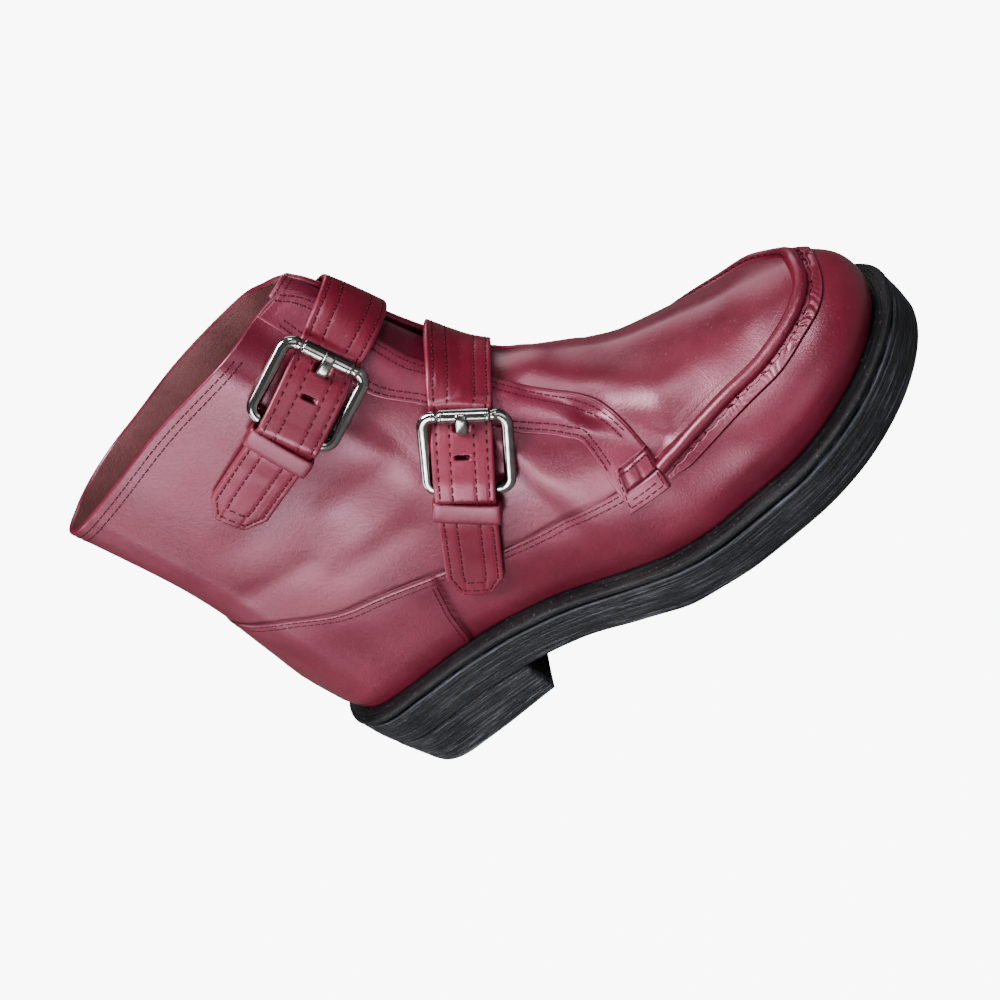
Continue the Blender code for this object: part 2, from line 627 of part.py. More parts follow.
def rigid_axes(band, place):
    """Fixed axes of a buckle: origin on the heel bar, u to the roller, v outward, w across."""
    bar = band.at(place["bar"], 0.0, BAR_H)
    roller = band.at(place["roller"], 0.0, ROLLER_H)
    u = (roller - bar) / np.linalg.norm(roller - bar)
    s = np.linspace(place["roller"], place["bar"], 9)[:, None]
    w = np.linspace(-10.0, 10.0, 5)
    v = (band.at(s, w, 1.0) - band.at(s, w, 0.0)).mean(axis=(0, 1))
    v -= u * np.dot(u, v)
    v /= np.linalg.norm(v)
    return bar, u, v, np.cross(u, v), float(np.linalg.norm(roller - bar))


def in_axes(axes, points):
    """Points given as (u, v, w) rows in a buckle's axes."""
    bar, u, v, w = axes[:4]
    points = np.asarray(points, float)
    return bar + points[..., 0:1] * u + points[..., 1:2] * v + points[..., 2:3] * w


def stiff_at(band, place, axes, s, w, h, level_v, reach=4.2):
    """A point beside the buckle: level_v in its axes near it, h on the form further off."""
    s, w, h, level_v = np.broadcast_arrays(*(np.asarray(a, float) for a in (s, w, h, level_v)))
    scale = axes[4] / (place["bar"] - place["roller"])
    stiff = in_axes(axes, np.stack([(place["bar"] - s) * scale, level_v, w], -1))
    outside = np.maximum(place["roller"] - 1.5 - s, s - place["bar"] - 1.0)
    share = np.clip(outside / reach, 0.0, 1.0)[..., None]
    share = share * share * (3.0 - 2.0 * share)
    return stiff * (1.0 - share) + band.at(s, w, h) * share


def rod_ring(centre, forward, up):
    angle = (np.arange(ROD_SIDES) + 0.5) * 2.0 * np.pi / ROD_SIDES
    right = np.cross(forward, up)
    return centre + ROD * (np.cos(angle)[:, None] * right + np.sin(angle)[:, None] * up)


def buckle_frame(name, axes, aside):
    """A rod bent round a rounded rectangle in the u-w plane."""
    long = axes[4]
    path = []
    for cu, cw, start in ((long - FRAME_CORNER, FRAME_HALF - FRAME_CORNER, 0.0),
                          (FRAME_CORNER, FRAME_HALF - FRAME_CORNER, 0.5),
                          (FRAME_CORNER, FRAME_CORNER - FRAME_HALF, 1.0),
                          (long - FRAME_CORNER, FRAME_CORNER - FRAME_HALF, 1.5)):
        for turn in np.linspace(0.0, 0.5, 4):
            angle = np.pi * (start + turn)
            path.append((cu + FRAME_CORNER * np.cos(angle), 0.0,
                         aside + cw + FRAME_CORNER * np.sin(angle)))
    path = np.array(path)
    ahead = np.roll(path, -1, axis=0) - np.roll(path, 1, axis=0)
    rings = []
    for point, step in zip(path, ahead):
        step = step / np.linalg.norm(step)
        rings.append(rod_ring(point, step, np.array((0.0, 1.0, 0.0))))
    return loft(name, in_axes(axes, rings), NICKEL, BOOT, closed=True)


def buckle_roller(name, axes, aside):
    """A tube on the frame's top bar."""
    angle = np.arange(ROLLER_SIDES) * 2.0 * np.pi / ROLLER_SIDES
    rings = []
    for radius, w in ((ROLLER_OUT, -ROLLER_HALF), (ROLLER_OUT, ROLLER_HALF),
                      (ROLLER_IN, ROLLER_HALF), (ROLLER_IN, -ROLLER_HALF)):
        rings.append(np.stack([axes[4] + radius * np.cos(angle), radius * np.sin(angle),
                               np.full(ROLLER_SIDES, w + aside)], -1))
    return loft(name, in_axes(axes, rings), NICKEL, BOOT, closed=True)


def buckle_prong(name, axes):
    """A tongue of metal: an open loop round the heel bar, a shank under the strap, up
    through its hole and over the roller."""
    loop = ROD + 0.2 + PRONG_THIN
    over = ROLLER_OUT + GAP + PRONG_THICK
    rows = []                # u, v of the middle line, half thickness
    for angle in np.radians(np.linspace(-335.0, -90.0, 12)):
        rows.append((loop * np.cos(angle), loop * np.sin(angle), PRONG_THIN))
    rows += [(3.0, -1.9, 0.55), (8.0, -1.0, 0.7)]
    rows += [(u, v, PRONG_THICK) for u, v in (
        (13.0, -1.1), (16.3, -1.1), (18.4, -0.3), (20.0, 1.4), (21.8, 2.8), (axes[4] - 2.4, over), (axes[4] + 1.6, over))]
    middle = np.array([row[:2] for row in rows])
    step = np.gradient(middle, axis=0)
    step /= np.linalg.norm(step, axis=1)[:, None]
    square = np.stack([-step[:, 1], step[:, 0]], -1)
    rings = []
    for (u, v, half), side in zip(rows, square):
        ring = []
        for a, w in ((-1, -1), (-1, 1), (1, 1), (1, -1)):
            ring.append((u + a * half * side[0], v + a * half * side[1], w * PRONG_HALF))
        rings.append(ring)
    return loft(name, in_axes(axes, rings), NICKEL, BOOT)


def keeper(name, band, place):
    """A leather loop round the strap, just past the buckle."""
    low = KEEPER_LOW
    high = IN_KEEPER + STRAP_THICKNESS + 0.55
    half = STRAP_HALF + 0.35
    flat = half * 0.4
    t = KEEPER_THICKNESS
    inner = [(-half, low + t), (-flat, low + t), (flat, low + t), (half, low + t),
             (half, high), (flat, high), (-flat, high), (-half, high)]
    outer = [(-half - t, low + 0.3), (-flat, low), (flat, low), (half + t, low + 0.3),
             (half + t, high + t * 0.6), (flat, high + t), (-flat, high + t), (-half - t, high + t * 0.6)]
    s0, s1 = place["keeper"]
    rings = []
    for (wi, hi), (wo, ho) in zip(inner, outer):
        rings.append([band.at(s0, wi, hi), band.at(s0, wo, ho), band.at(s1, wo, ho), band.at(s1, wi, hi)])
    return loft(name, rings, BURGUNDY, BOOT, closed=True)


def prong_slot(name, axes, low_u, high_u, half_v):
    """A cutter round the prong, from low_u to high_u along the buckle's axes."""
    half = PRONG_HALF + SLOT_CLEAR
    corners = ((-half_v, -half), (half_v, -half), (half_v, half), (-half_v, half))
    return block(name, in_axes(axes, [[(u, v, w) for v, w in corners] for u in (low_u, high_u)]))


def chape(name, band, place, axes):
    """The strip that holds the buckle: sewn down under the tail, up round the heel bar and
    back on itself, with a slot for the prong."""
    t = CHAPE_THICKNESS
    radius = ROD + CLEAR
    s_bar = place["bar"]
    half = STRAP_HALF - 1.0
    rows = []                # ring pairs: inner side, outer side, as s and h over the form
    rows.append(((s_bar + CHAPE_END, GAP + t), (s_bar + CHAPE_END, GAP)))
    for s in (s_bar + 16.0, s_bar + 9.0, s_bar + 5.0, s_bar + 1.5):
        rows.append(((s, BAR_H - radius), (s, BAR_H - radius - t)))
    for degrees in np.linspace(-90.0, -270.0, 7):
        a = np.radians(degrees)
        rows.append(((s_bar + radius * np.cos(a), BAR_H + radius * np.sin(a)),
                     (s_bar + (radius + t) * np.cos(a), BAR_H + (radius + t) * np.sin(a))))
    rows.append(((s_bar + 2.2, BAR_H + radius - GAP), (s_bar + 2.4, BAR_H + radius + t - GAP)))
    w = np.linspace(-half, half, 3)
    rings = []
    for (s_in, h_in), (s_out, h_out) in rows:
        low = stiff_at(band, place, axes, s_in, w, h_in, h_in - BAR_H)
        high = stiff_at(band, place, axes, s_out, w[::-1], h_out, h_out - BAR_H)
        rings.append(np.concatenate((low, high)))
    part = loft(name, rings, BURGUNDY, BOOT)
    cut(part, prong_slot(name + "_slot", axes, -4.5, 4.0, 4.0))
    return part


def strap(name, band, place, axes):
    """The strap itself, with the hole that the prong comes up through."""
    roller, bar, tip = place["roller"], place["bar"], place["tip"]
    keeper_from, keeper_to = place["keeper"]
    s = np.concatenate((np.arange(place["end"], -24.0, 9.0), np.arange(-22.0, roller - 4.0, 4.5),
                        np.arange(roller - 2.0, bar + 1.0, 3.2), np.linspace(bar + 1.6, keeper_from - 0.4, 4),
                        np.linspace(keeper_from + 3.0, keeper_to + 0.4, 3),
                        np.arange(keeper_to + 4.0, tip - TAPER - 2.0, 5.5), [tip - TAPER, tip - 0.35 * TAPER, tip]))
    rings = []
    for at in s:
        taper = np.clip((at - tip + TAPER) / TAPER, 0.0, 1.0)
        narrow = np.clip(at / roller, 0.0, 1.0)
        half = WIDE_HALF + (STRAP_HALF - WIDE_HALF) * narrow
        half += (TIP_HALF - half) * taper
        base = float(strap_base(place, at))
        level_v = float(smooth(STIFF_LEVEL, "z", (at - roller) / (bar - roller)))
        w = np.linspace(-half, half, 5)
        rings.append(np.concatenate((
            stiff_at(band, place, axes, at, w, base, level_v),
            stiff_at(band, place, axes, at, w[::-1] * 0.98, base + STRAP_THICKNESS, level_v + STRAP_THICKNESS))))
    part = loft(name, rings, BURGUNDY, BOOT)
    cut(part, prong_slot(name + "_hole", axes, *PRONG_HOLE, 6.0))
    return part


for end_name, spots in STRAPS.items():
    ground = Band(spots)
    rigid = rigid_axes(ground, spots)
    strap("strap_" + end_name, ground, spots, rigid)
    chape("chape_" + end_name, ground, spots, rigid)
    keeper("keeper_" + end_name, ground, spots)
    buckle_frame("buckle_frame_" + end_name, rigid, spots["aside"])
    buckle_roller("buckle_roller_" + end_name, rigid, spots["aside"])
    buckle_prong("buckle_prong_" + end_name, rigid)

# ---------------------------------------------------------------- moccasin ridge and tabs

def form_frame(x, y):
    """Point and outward normal of the form over a plan point."""
    d = SLOPE_STEP
    slope_x = (top_z(x + d, y) - top_z(x - d, y)) / (2 * d)
    slope_y = (top_z(x, y + d) - top_z(x, y - d)) / (2 * d)
    normal = np.array((-slope_x, -slope_y, 1.0))
    return np.array((x, y, float(top_z(x, y)))), normal / np.linalg.norm(normal)


def ridge_half(x):
    """Half width between the two sides of the ridge."""
    base = RIDGE_HALF - RIDGE_NARROWS * (x - RIDGE_FROM)
    share = np.clip((x - RIDGE_TURN) / (RIDGE_TO - RIDGE_TURN), 0.0, 1.0)
    return base * np.maximum(1.0 - share ** RIDGE_POWER, 0.0) ** (1.0 / RIDGE_POWER)


def medial_in(x):
    """How far the medial side of the ridge is drawn in toward the middle."""
    return MEDIAL_IN * np.clip((MEDIAL_IN_FROM - x) / MEDIAL_IN_OVER, 0.0, 1.0) ** 2


ridge_x = RIDGE_FROM + (RIDGE_TO - RIDGE_FROM) * np.sin(np.linspace(0.0, np.pi / 2.0, 15)) ** 0.9
plan = [(x, RIDGE_MIDDLE - float(ridge_half(x))) for x in ridge_x]
plan += [(x, RIDGE_MIDDLE + float(ridge_half(x) - medial_in(x))) for x in ridge_x[::-1][1:]]
frames = [form_frame(x, y) for x, y in plan]
centres = np.array([frame[0] for frame in frames])
ahead = np.gradient(centres, axis=0)
rings = []
for (centre, normal), step in zip(frames, ahead):
    step = step - normal * np.dot(step, normal)
    side = np.cross(step / np.linalg.norm(step), normal)
    rings.append([centre + a * side + b * normal for a, b in RIDGE_SECTION])
loft("moccasin_ridge", rings, BURGUNDY, BOOT)


def on_flank(x, z, side, height):
    """A point of the form's flank, raised by height square to it."""
    d = SLOPE_STEP
    slope_x = (wall_y(x + d, z, side) - wall_y(x - d, z, side)) / (2 * d)
    slope_z = (wall_y(x, z + d, side) - wall_y(x, z - d, side)) / (2 * d)
    normal = np.array((-slope_x, 1.0, -slope_z))
    point = np.array((x, float(wall_y(x, z, side)), z)) + height * normal / np.linalg.norm(normal)
    return point * (1.0, sign_of(side), 1.0)


for side in ("lateral", "medial"):
    rings = []
    for p in np.linspace(0.0, 1.0, 4):
        spots = []
        for q in np.linspace(0.0, 1.0, 5):
            spots.append([float(np.dot((1 - p, p), np.dot(TAB[key], (1 - q, q)))) for key in ("x", "z")])
        low = [on_flank(x, z, side, TAB_LOW) for x, z in spots]
        high = [on_flank(x, z, side, TAB_HIGH) for x, z in spots]
        rings.append(low + high[::-1])
    loft("tab_" + side, rings, BURGUNDY, BOOT)
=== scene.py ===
import bmesh
import bpy
import mathutils
import numpy as np
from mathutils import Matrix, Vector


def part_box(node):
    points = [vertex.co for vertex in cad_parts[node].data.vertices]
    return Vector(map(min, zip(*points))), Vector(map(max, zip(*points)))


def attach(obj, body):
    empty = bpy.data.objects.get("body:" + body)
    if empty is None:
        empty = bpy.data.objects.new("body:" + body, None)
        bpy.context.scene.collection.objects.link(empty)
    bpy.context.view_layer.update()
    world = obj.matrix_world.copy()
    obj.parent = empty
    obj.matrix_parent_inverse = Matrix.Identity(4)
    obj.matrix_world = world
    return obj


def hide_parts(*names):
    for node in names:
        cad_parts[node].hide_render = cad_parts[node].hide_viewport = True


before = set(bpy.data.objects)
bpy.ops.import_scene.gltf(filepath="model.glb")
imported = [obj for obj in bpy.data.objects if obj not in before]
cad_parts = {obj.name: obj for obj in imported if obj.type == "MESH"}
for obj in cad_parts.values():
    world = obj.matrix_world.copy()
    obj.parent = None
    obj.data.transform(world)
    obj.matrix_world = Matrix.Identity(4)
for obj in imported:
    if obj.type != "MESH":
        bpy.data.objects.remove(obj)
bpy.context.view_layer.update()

# ---------------------------------------------------------------- outsole, midsole and heel
# The sole is pressed from thin layers of black rubber and leather board, and its edge is
# trimmed, inked and buffed, so the layers show as fine level lines. The midsole stands
# proud as a rounded lip with a groove below it. The heel block is built up the same way.
MM = 0.001
BACK_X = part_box("outsole")[0][0]
SOLE_LENGTH = (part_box("outsole")[1][0] - BACK_X) / MM
HEEL_X, TOE_X = 36.0, 215.0  # where the heel's and the toe's curves begin
HEEL_RUN, TOE_RUN = 50.0, 80.0  # the run spent going round each of them
HEEL_PLAN_POWER, TOE_PLAN_POWER, TOE_RISE_POWER = 2.1, 1.95, 2.6
PLAN_X = (36, 60, 85, 110, 140, 165, 190, 215)
PLAN = {"lateral": (34.5, 35.5, 35.5, 37, 43, 49.5, 53, 52.5),
        "medial": (32, 31, 28.5, 27.5, 32, 39.5, 46.5, 49.5)}
SOLE_TOP = ((0, 60, 84, 120, 150, 175, 215, 250, 284),
            (43.5, 42, 39.2, 31.5, 24, 20.6, 20.6, 23.5, 29))
SOLE_UNDER = ((0, 60, 84, 110, 135, 158, 206, 235, 260, 284),
              (22.9, 21.4, 18.6, 13, 5, 0, 0, 1.6, 4.6, 9))
SOLE_RUN = np.concatenate((np.linspace(-14, 36, 42)[:-1], np.linspace(36, 215, 110)[:-1],
                           np.linspace(215, 295, 62)))


def smooth(rows, values, x):
    """Cubic through rows of values, each slope the harmonic mean of its neighbours' slopes."""
    rows, values = np.asarray(rows, float), np.asarray(values, float)
    span = np.diff(rows)
    slope = np.diff(values) / span
    same_way = slope[:-1] * slope[1:] > 0
    total = np.where(same_way, slope[:-1] + slope[1:], 1.0)
    inner = np.where(same_way, 2.0 * slope[:-1] * slope[1:] / total, 0.0)
    tangent = np.concatenate(([slope[0]], inner, [slope[-1]]))
    x = np.clip(np.asarray(x, float), rows[0], rows[-1])
    i = np.clip(np.searchsorted(rows, x, side="right") - 1, 0, len(rows) - 2)
    t = (x - rows[i]) / span[i]
    return ((1 + 2 * t) * (1 - t) ** 2 * values[i] + t * (1 - t) ** 2 * span[i] * tangent[i]
            + t * t * (3 - 2 * t) * values[i + 1] + t * t * (t - 1) * span[i] * tangent[i + 1])


def ease(low, high, x):
    """0 below low, 1 above high, with 3t^2 - 2t^3 between."""
    t = np.clip((np.asarray(x, float) - low) / (high - low), 0.0, 1.0)
    return t * t * (3.0 - 2.0 * t)


def arc(angle, power):
    """Superellipse sides: cos and sin of the angle, each raised to 2 / power."""
    across, up = np.maximum(np.cos(angle), 0.0), np.maximum(np.sin(angle), 0.0)
    return across ** (2.0 / power), up ** (2.0 / power)


def sole_top(x):
    """Height of the midsole's upper face at x."""
    return smooth(*SOLE_TOP, x)


def sole_under(x):
    """Height of the outsole's under face at x."""
    return smooth(*SOLE_UNDER, x)


def fan_at(run):
    """Run, in mm from the middle of the heel's back, as 0-1 heel, 1-2 foot, 2-3 toe."""
    run = np.asarray(run, float)
    foot = 1.0 + (run - HEEL_X) / (TOE_X - HEEL_X)
    heel = 1.0 + (run - HEEL_X) / HEEL_RUN
    return np.where(run < HEEL_X, heel, np.where(run > TOE_X, 2.0 + (run - TOE_X) / TOE_RUN, foot))


def sole_outline(inset, side, run):
    """Plan outline: a superellipse round the heel, the PLAN widths, one round the toe."""
    fan = fan_at(run)
    x = np.clip(run, HEEL_X, TOE_X)
    y = smooth(PLAN_X, PLAN[side], x) - inset
    heel_c, heel_s = arc(np.pi / 2.0 * np.clip(fan, 0.0, 1.0), HEEL_PLAN_POWER)
    toe_x, toe_y = arc(np.pi / 2.0 * (1.0 - np.clip(fan - 2.0, 0.0, 1.0)), TOE_PLAN_POWER)
    x = np.where(fan < 1.0, HEEL_X - (HEEL_X - inset) * heel_c, x)
    x = np.where(fan > 2.0, TOE_X + (SOLE_LENGTH - inset - TOE_X) * toe_x, x)
    y = np.where(fan < 1.0, y * heel_s, np.where(fan > 2.0, y * toe_y, y))
    return x, -y if side == "lateral" else y


def quads(rows, columns, around=(False, False), start=0, flip=False):
    """Face corners of a grid of points, row by row; around closes a direction on itself."""
    i = np.arange(rows if around[0] else rows - 1)[:, None]
    j = np.arange(columns if around[1] else columns - 1)[None, :]
    i2, j2 = (i + 1) % rows, (j + 1) % columns
    corners = np.stack(np.broadcast_arrays(i * columns + j, i * columns + j2, i2 * columns + j2,
                                           i2 * columns + j), -1).reshape(-1, 4) + start
    return corners if flip else corners[:, ::-1]


def piece(name, sheets, finish, node=None, around=(False, False), flips=None,
          marks=None, turn_out=False, merge=0.004):
    """Makes an object from grids of points in mm, measured from the back of the sole: doubles
    merged, shaded smooth, faces turned outward where turn_out says so. marks gives each
    grid's values point by point, for the material to read."""
    faces, start = [], 0
    for k, sheet in enumerate(sheets):
        rows, columns = sheet.shape[:2]
        faces.append(quads(rows, columns, around, start, bool(flips and flips[k])))
        start += rows * columns
    points = np.concatenate([sheet.reshape(-1, 3) for sheet in sheets])
    mesh = bpy.data.meshes.new(name)
    mesh.from_pydata((points * MM + (BACK_X, 0.0, 0.0)).tolist(), [], np.concatenate(faces).tolist())
    for key, values in (marks or {}).items():
        flat = np.concatenate([np.asarray(v, float).reshape(sheet[..., 0].size, -1)
                               for v, sheet in zip(values, sheets)])
        kind, field = ("FLOAT_VECTOR", "vector") if flat.shape[1] == 3 else ("FLOAT", "value")
        mesh.attributes.new(key, kind, "POINT").data.foreach_set(field, flat.ravel())
    work = bmesh.new()
    work.from_mesh(mesh)
    bmesh.ops.remove_doubles(work, verts=work.verts, dist=merge * MM)
    bmesh.ops.dissolve_degenerate(work, edges=work.edges, dist=merge * MM / 2)
    if turn_out:
        bmesh.ops.recalc_face_normals(work, faces=work.faces)
    work.to_mesh(mesh)
    work.free()
    mesh.polygons.foreach_set("use_smooth", np.ones(len(mesh.polygons), bool))
    mesh.materials.append(finish)
    made = bpy.data.objects.new(name, mesh)
    bpy.context.scene.collection.objects.link(made)
    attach(made, "root")
    for standing in (node if isinstance(node, tuple) else (node,) if node else ()):
        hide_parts(standing)


def add(tree, kind, wires=None, **settings):
    """A shader node with its settings; wires gives each input a value or another's output."""
    made = tree.nodes.new(kind)
    for key, value in settings.items():
        setattr(made, key, value)
    for key, value in (wires or {}).items():
        if isinstance(value, bpy.types.NodeSocket):
            tree.links.new(value, made.inputs[key])
        else:
            made.inputs[key].default_value = value
    return made


def ramp(tree, source, stops):
    """A colour ramp with (place, colour) stops."""
    made = add(tree, "ShaderNodeValToRGB", {"Fac": source})
    made.color_ramp.elements[0].position = stops[0][0]
    made.color_ramp.elements[0].color = (*stops[0][1], 1.0)
    made.color_ramp.elements[1].position = stops[-1][0]
    made.color_ramp.elements[1].color = (*stops[-1][1], 1.0)
    for place, colour in stops[1:-1]:
        made.color_ramp.elements.new(place).color = (*colour, 1.0)
    return made.outputs["Color"]


def band_of(tree, source, low, high, to_low=0.0, to_high=1.0):
    """A value mapped from low-high to another range, clamped."""
    return add(tree, "ShaderNodeMapRange", {"Value": source, "From Min": low, "From Max": high,
                                            "To Min": to_low, "To Max": to_high}).outputs["Result"]


def mixed(tree, share, first, second):
    """Two colours mixed by a share: 0 is the first, 1 the second."""
    wires = {0: share}
    for index, colour in ((6, first), (7, second)):
        wires[index] = colour if isinstance(colour, bpy.types.NodeSocket) else (*colour, 1.0)
    return add(tree, "ShaderNodeMix", wires, data_type="RGBA").outputs[2]


def sums(tree, kind, first, second=0.0):
    """One step of arithmetic on two values."""
    return add(tree, "ShaderNodeMath", {0: first, 1: second}, operation=kind).outputs[0]


def noise(tree, place, scale, detail, roughness=0.5):
    """Cloudy variation in the range 0-1: finer with scale, rougher with detail."""
    return add(tree, "ShaderNodeTexNoise", {"Vector": place, "Scale": scale, "Detail": detail,
                                            "Roughness": roughness}).outputs["Fac"]


def mark(tree, name):
    """The value that each point of the piece carries under this name, or 0."""
    return add(tree, "ShaderNodeAttribute", attribute_name=name).outputs["Fac"]


def begin(name, **shader):
    """A new material with constants set on its Principled shader."""
    made = bpy.data.materials.new(name)
    made.use_nodes = True
    principled = made.node_tree.nodes["Principled BSDF"]
    for key, value in shader.items():
        socket = principled.inputs[key.replace("_", " ")]
        socket.default_value = (*value, 1.0) if isinstance(value, tuple) and len(value) == 3 else value
    return made, made.node_tree, principled


def surface_group(name, outputs):
    """An empty shader group with a Scale input; outputs lists name and socket type."""
    made = bpy.data.node_groups.new(name, "ShaderNodeTree")
    made.interface.new_socket(name="Scale", in_out="INPUT", socket_type="NodeSocketFloat").default_value = 1.0
    for label, kind in outputs:
        made.interface.new_socket(name=label, in_out="OUTPUT", socket_type=kind)
    return made, add(made, "NodeGroupInput"), add(made, "NodeGroupOutput")


# Dust: pale specks and a faint film that gathers on upward faces.
dust_group, dust_in, dust_out = surface_group("settled_dust", (("Film", "NodeSocketFloat"),))
dust_place = add(dust_group, "ShaderNodeTexCoord").outputs["Object"]
dust_specks = noise(dust_group, dust_place, 900.0, 3.0)
dust_film = noise(dust_group, dust_place, 28.0, 2.0)
dust_facing = add(dust_group, "ShaderNodeNewGeometry").outputs["Normal"]
dust_up = add(dust_group, "ShaderNodeSeparateXYZ", {0: dust_facing}).outputs["Z"]
dust_value = sums(dust_group, "MULTIPLY", band_of(dust_group, dust_specks, 0.66, 0.74),
                  band_of(dust_group, dust_up, 0.0, 1.0, 0.2, 1.0))
dust_value = sums(dust_group, "ADD", dust_value, band_of(dust_group, dust_film, 0.5, 0.8, 0.0, 0.15))
dust_value = sums(dust_group, "MULTIPLY", dust_value, dust_in.outputs["Scale"])
dust_group.links.new(dust_value, dust_out.inputs["Film"])


def dust(tree, amount):
    """How much dust lies at each point, times an amount."""
    made = add(tree, "ShaderNodeGroup", node_tree=dust_group)
    made.inputs["Scale"].default_value = amount
    return made.outputs["Film"]


def layered(name, dark, pale, brown, relief=0.0008):
    """Inked layer board: streaks run along the edge, from each point's run and depth."""
    made, tree, shader = begin(name, Specular_IOR_Level=0.22)
    place = add(tree, "ShaderNodeAttribute", attribute_name="layer").outputs["Vector"]
    fine = add(tree, "ShaderNodeMapping", {"Vector": place, "Scale": (0.045, 1.45, 1.0)})
    broad = add(tree, "ShaderNodeMapping", {"Vector": place, "Scale": (0.011, 0.8, 1.0)})
    streak = noise(tree, fine.outputs[0], 1.0, 5.0, 0.7)
    swell = noise(tree, broad.outputs[0], 1.0, 3.0)
    tone = ramp(tree, streak, ((0.40, dark), (0.52, dark), (0.60, pale), (0.66, dark), (0.76, brown)))
    tone = mixed(tree, band_of(tree, swell, 0.4, 0.62), tone, dark)
    tone = mixed(tree, band_of(tree, mark(tree, "edge"), 0.2, 1.0, 0.0, 0.55), tone, pale)
    tone = mixed(tree, dust(tree, 0.25), tone, (0.35, 0.33, 0.30))
    tree.links.new(tone, shader.inputs["Base Color"])
    tree.links.new(band_of(tree, streak, 0.35, 0.7, 0.36, 0.62), shader.inputs["Roughness"])
    bump = add(tree, "ShaderNodeBump", {"Height": sums(tree, "ADD", streak, swell), "Strength": 1.0,
                                        "Distance": relief})
    tree.links.new(bump.outputs["Normal"], shader.inputs["Normal"])
    return made


RIPPLE_FROM, RIPPLE = 4.5, 0.05  # below this depth the trimmed side waves by this much
ACROSS_STEPS = 13


def sole_layer(name, rows, finish, node):
    """A closed layer: side rows down each side, joined straight across the top and the
    bottom. Each row: inset, height function of x, depth in mm, wear."""
    rings, marks, wear = [], [], []

    def ring(x, y, height, down, edge):
        """One line along the sole, with the run and the depth that its streaks follow."""
        rings.append(np.stack([x, y, height(x)], -1))
        marks.append(np.stack(np.broadcast_arrays(SOLE_RUN, down, 0.0), -1))
        wear.append(np.full(SOLE_RUN.shape, edge))

    across = np.linspace(-1.0, 1.0, ACROSS_STEPS)[1:-1]
    for side, order, over in (("lateral", rows, across), ("medial", rows[::-1], across[::-1])):
        for inset, height, down, edge in order:
            ripple = RIPPLE * np.sin(down * 5.2 + 0.7 * np.sin(SOLE_RUN / 31.0)) if down > RIPPLE_FROM else 0.0
            ring(*sole_outline(inset + ripple, side, SOLE_RUN), height, down, edge)
        inset, height, down, _ = order[-1]
        x, y1 = sole_outline(inset, "lateral", SOLE_RUN)
        y2 = sole_outline(inset, "medial", SOLE_RUN)[1]
        for u in over:
            ring(x, y1 + (y2 - y1) * (u + 1.0) / 2.0, height, down + 3.0 * abs(u), 0.0)
    piece(name, [np.stack(rings, 1)], finish, node, (False, True),
          marks={"layer": [np.stack(marks, 1)], "edge": [np.stack(wear, 1)]}, turn_out=True)


def below(base, offset):
    """A height function: base, raised by offset."""
    return lambda x: base(x) + offset


layer_black = layered("inked_layer_edge", (0.0036, 0.0037, 0.0050), (0.085, 0.095, 0.122), (0.062, 0.046, 0.036))
heel_black = layered("inked_heel", (0.0055, 0.0056, 0.0075), (0.125, 0.135, 0.165), (0.088, 0.068, 0.054))
lip_black = layered("inked_lip", (0.0018, 0.0018, 0.0025), (0.012, 0.014, 0.019), (0.010, 0.008, 0.007), 0.0004)

# The lip's section, as inset, height from the sole's top, depth along the edge and wear.
LIP = ((7.0, 0.0, -5.0, 0.0), (2.4, 0.0, -2.0, 0.0), (1.0, -0.1, -0.6, 0.1), (0.35, -0.5, 0.1, 0.45),
       (0.05, -1.1, 0.9, 0.1), (0.0, -1.9, 1.8, 0.0), (0.2, -2.6, 2.6, 0.1), (0.8, -3.1, 3.2, 0.1),
       (1.9, -3.3, 3.6, 0.0), (2.4, -4.0, 4.2, 0.0))
UNDER_LIP = ((2.4, -4.05, 4.2, 0.0), (1.5, -4.2, 4.4, 0.1), (0.55, -4.4, 4.7, 0.7), (0.25, -4.75, 5.0, 0.35))
SIDE_FROM, SIDE_TO, SIDE_DEPTH = -5.3, 1.3, 14.0  # below the top, above the tread, and the depth between


def side_height(share):
    """A height function: a share of the way down the trimmed side of the outsole."""
    def height(x):
        """Height of this line of the side at x."""
        top, low = sole_top(x) + SIDE_FROM, sole_under(x) + SIDE_TO
        return top + (low - top) * share
    return height


sole_layer("midsole_lip", [(inset, below(sole_top, rise), down, edge) for inset, rise, down, edge in LIP],
           lip_black, "midsole")
side_rows = [(inset, below(sole_top, rise), down, edge) for inset, rise, down, edge in UNDER_LIP]
for share in np.linspace(0.0, 1.0, 26):
    inset = 0.12 - 0.12 * np.sin(np.pi * share) + 0.45 * share ** 3
    side_rows.append((inset, side_height(share), 5.6 + SIDE_DEPTH * share, 0.0))
side_rows += [(1.0, below(sole_under, 0.5), 20.6, 0.5), (1.8, below(sole_under, 0.0), 21.4, 0.2)]
sole_layer("outsole_layers", side_rows, layer_black, "outsole")

HEEL_LENGTH, BREAST_STEPS = 84.0, 14
HEEL_BLOCK_RUN = np.concatenate((np.linspace(-14, 36, 42)[:-1], np.linspace(36, HEEL_LENGTH, 30)))
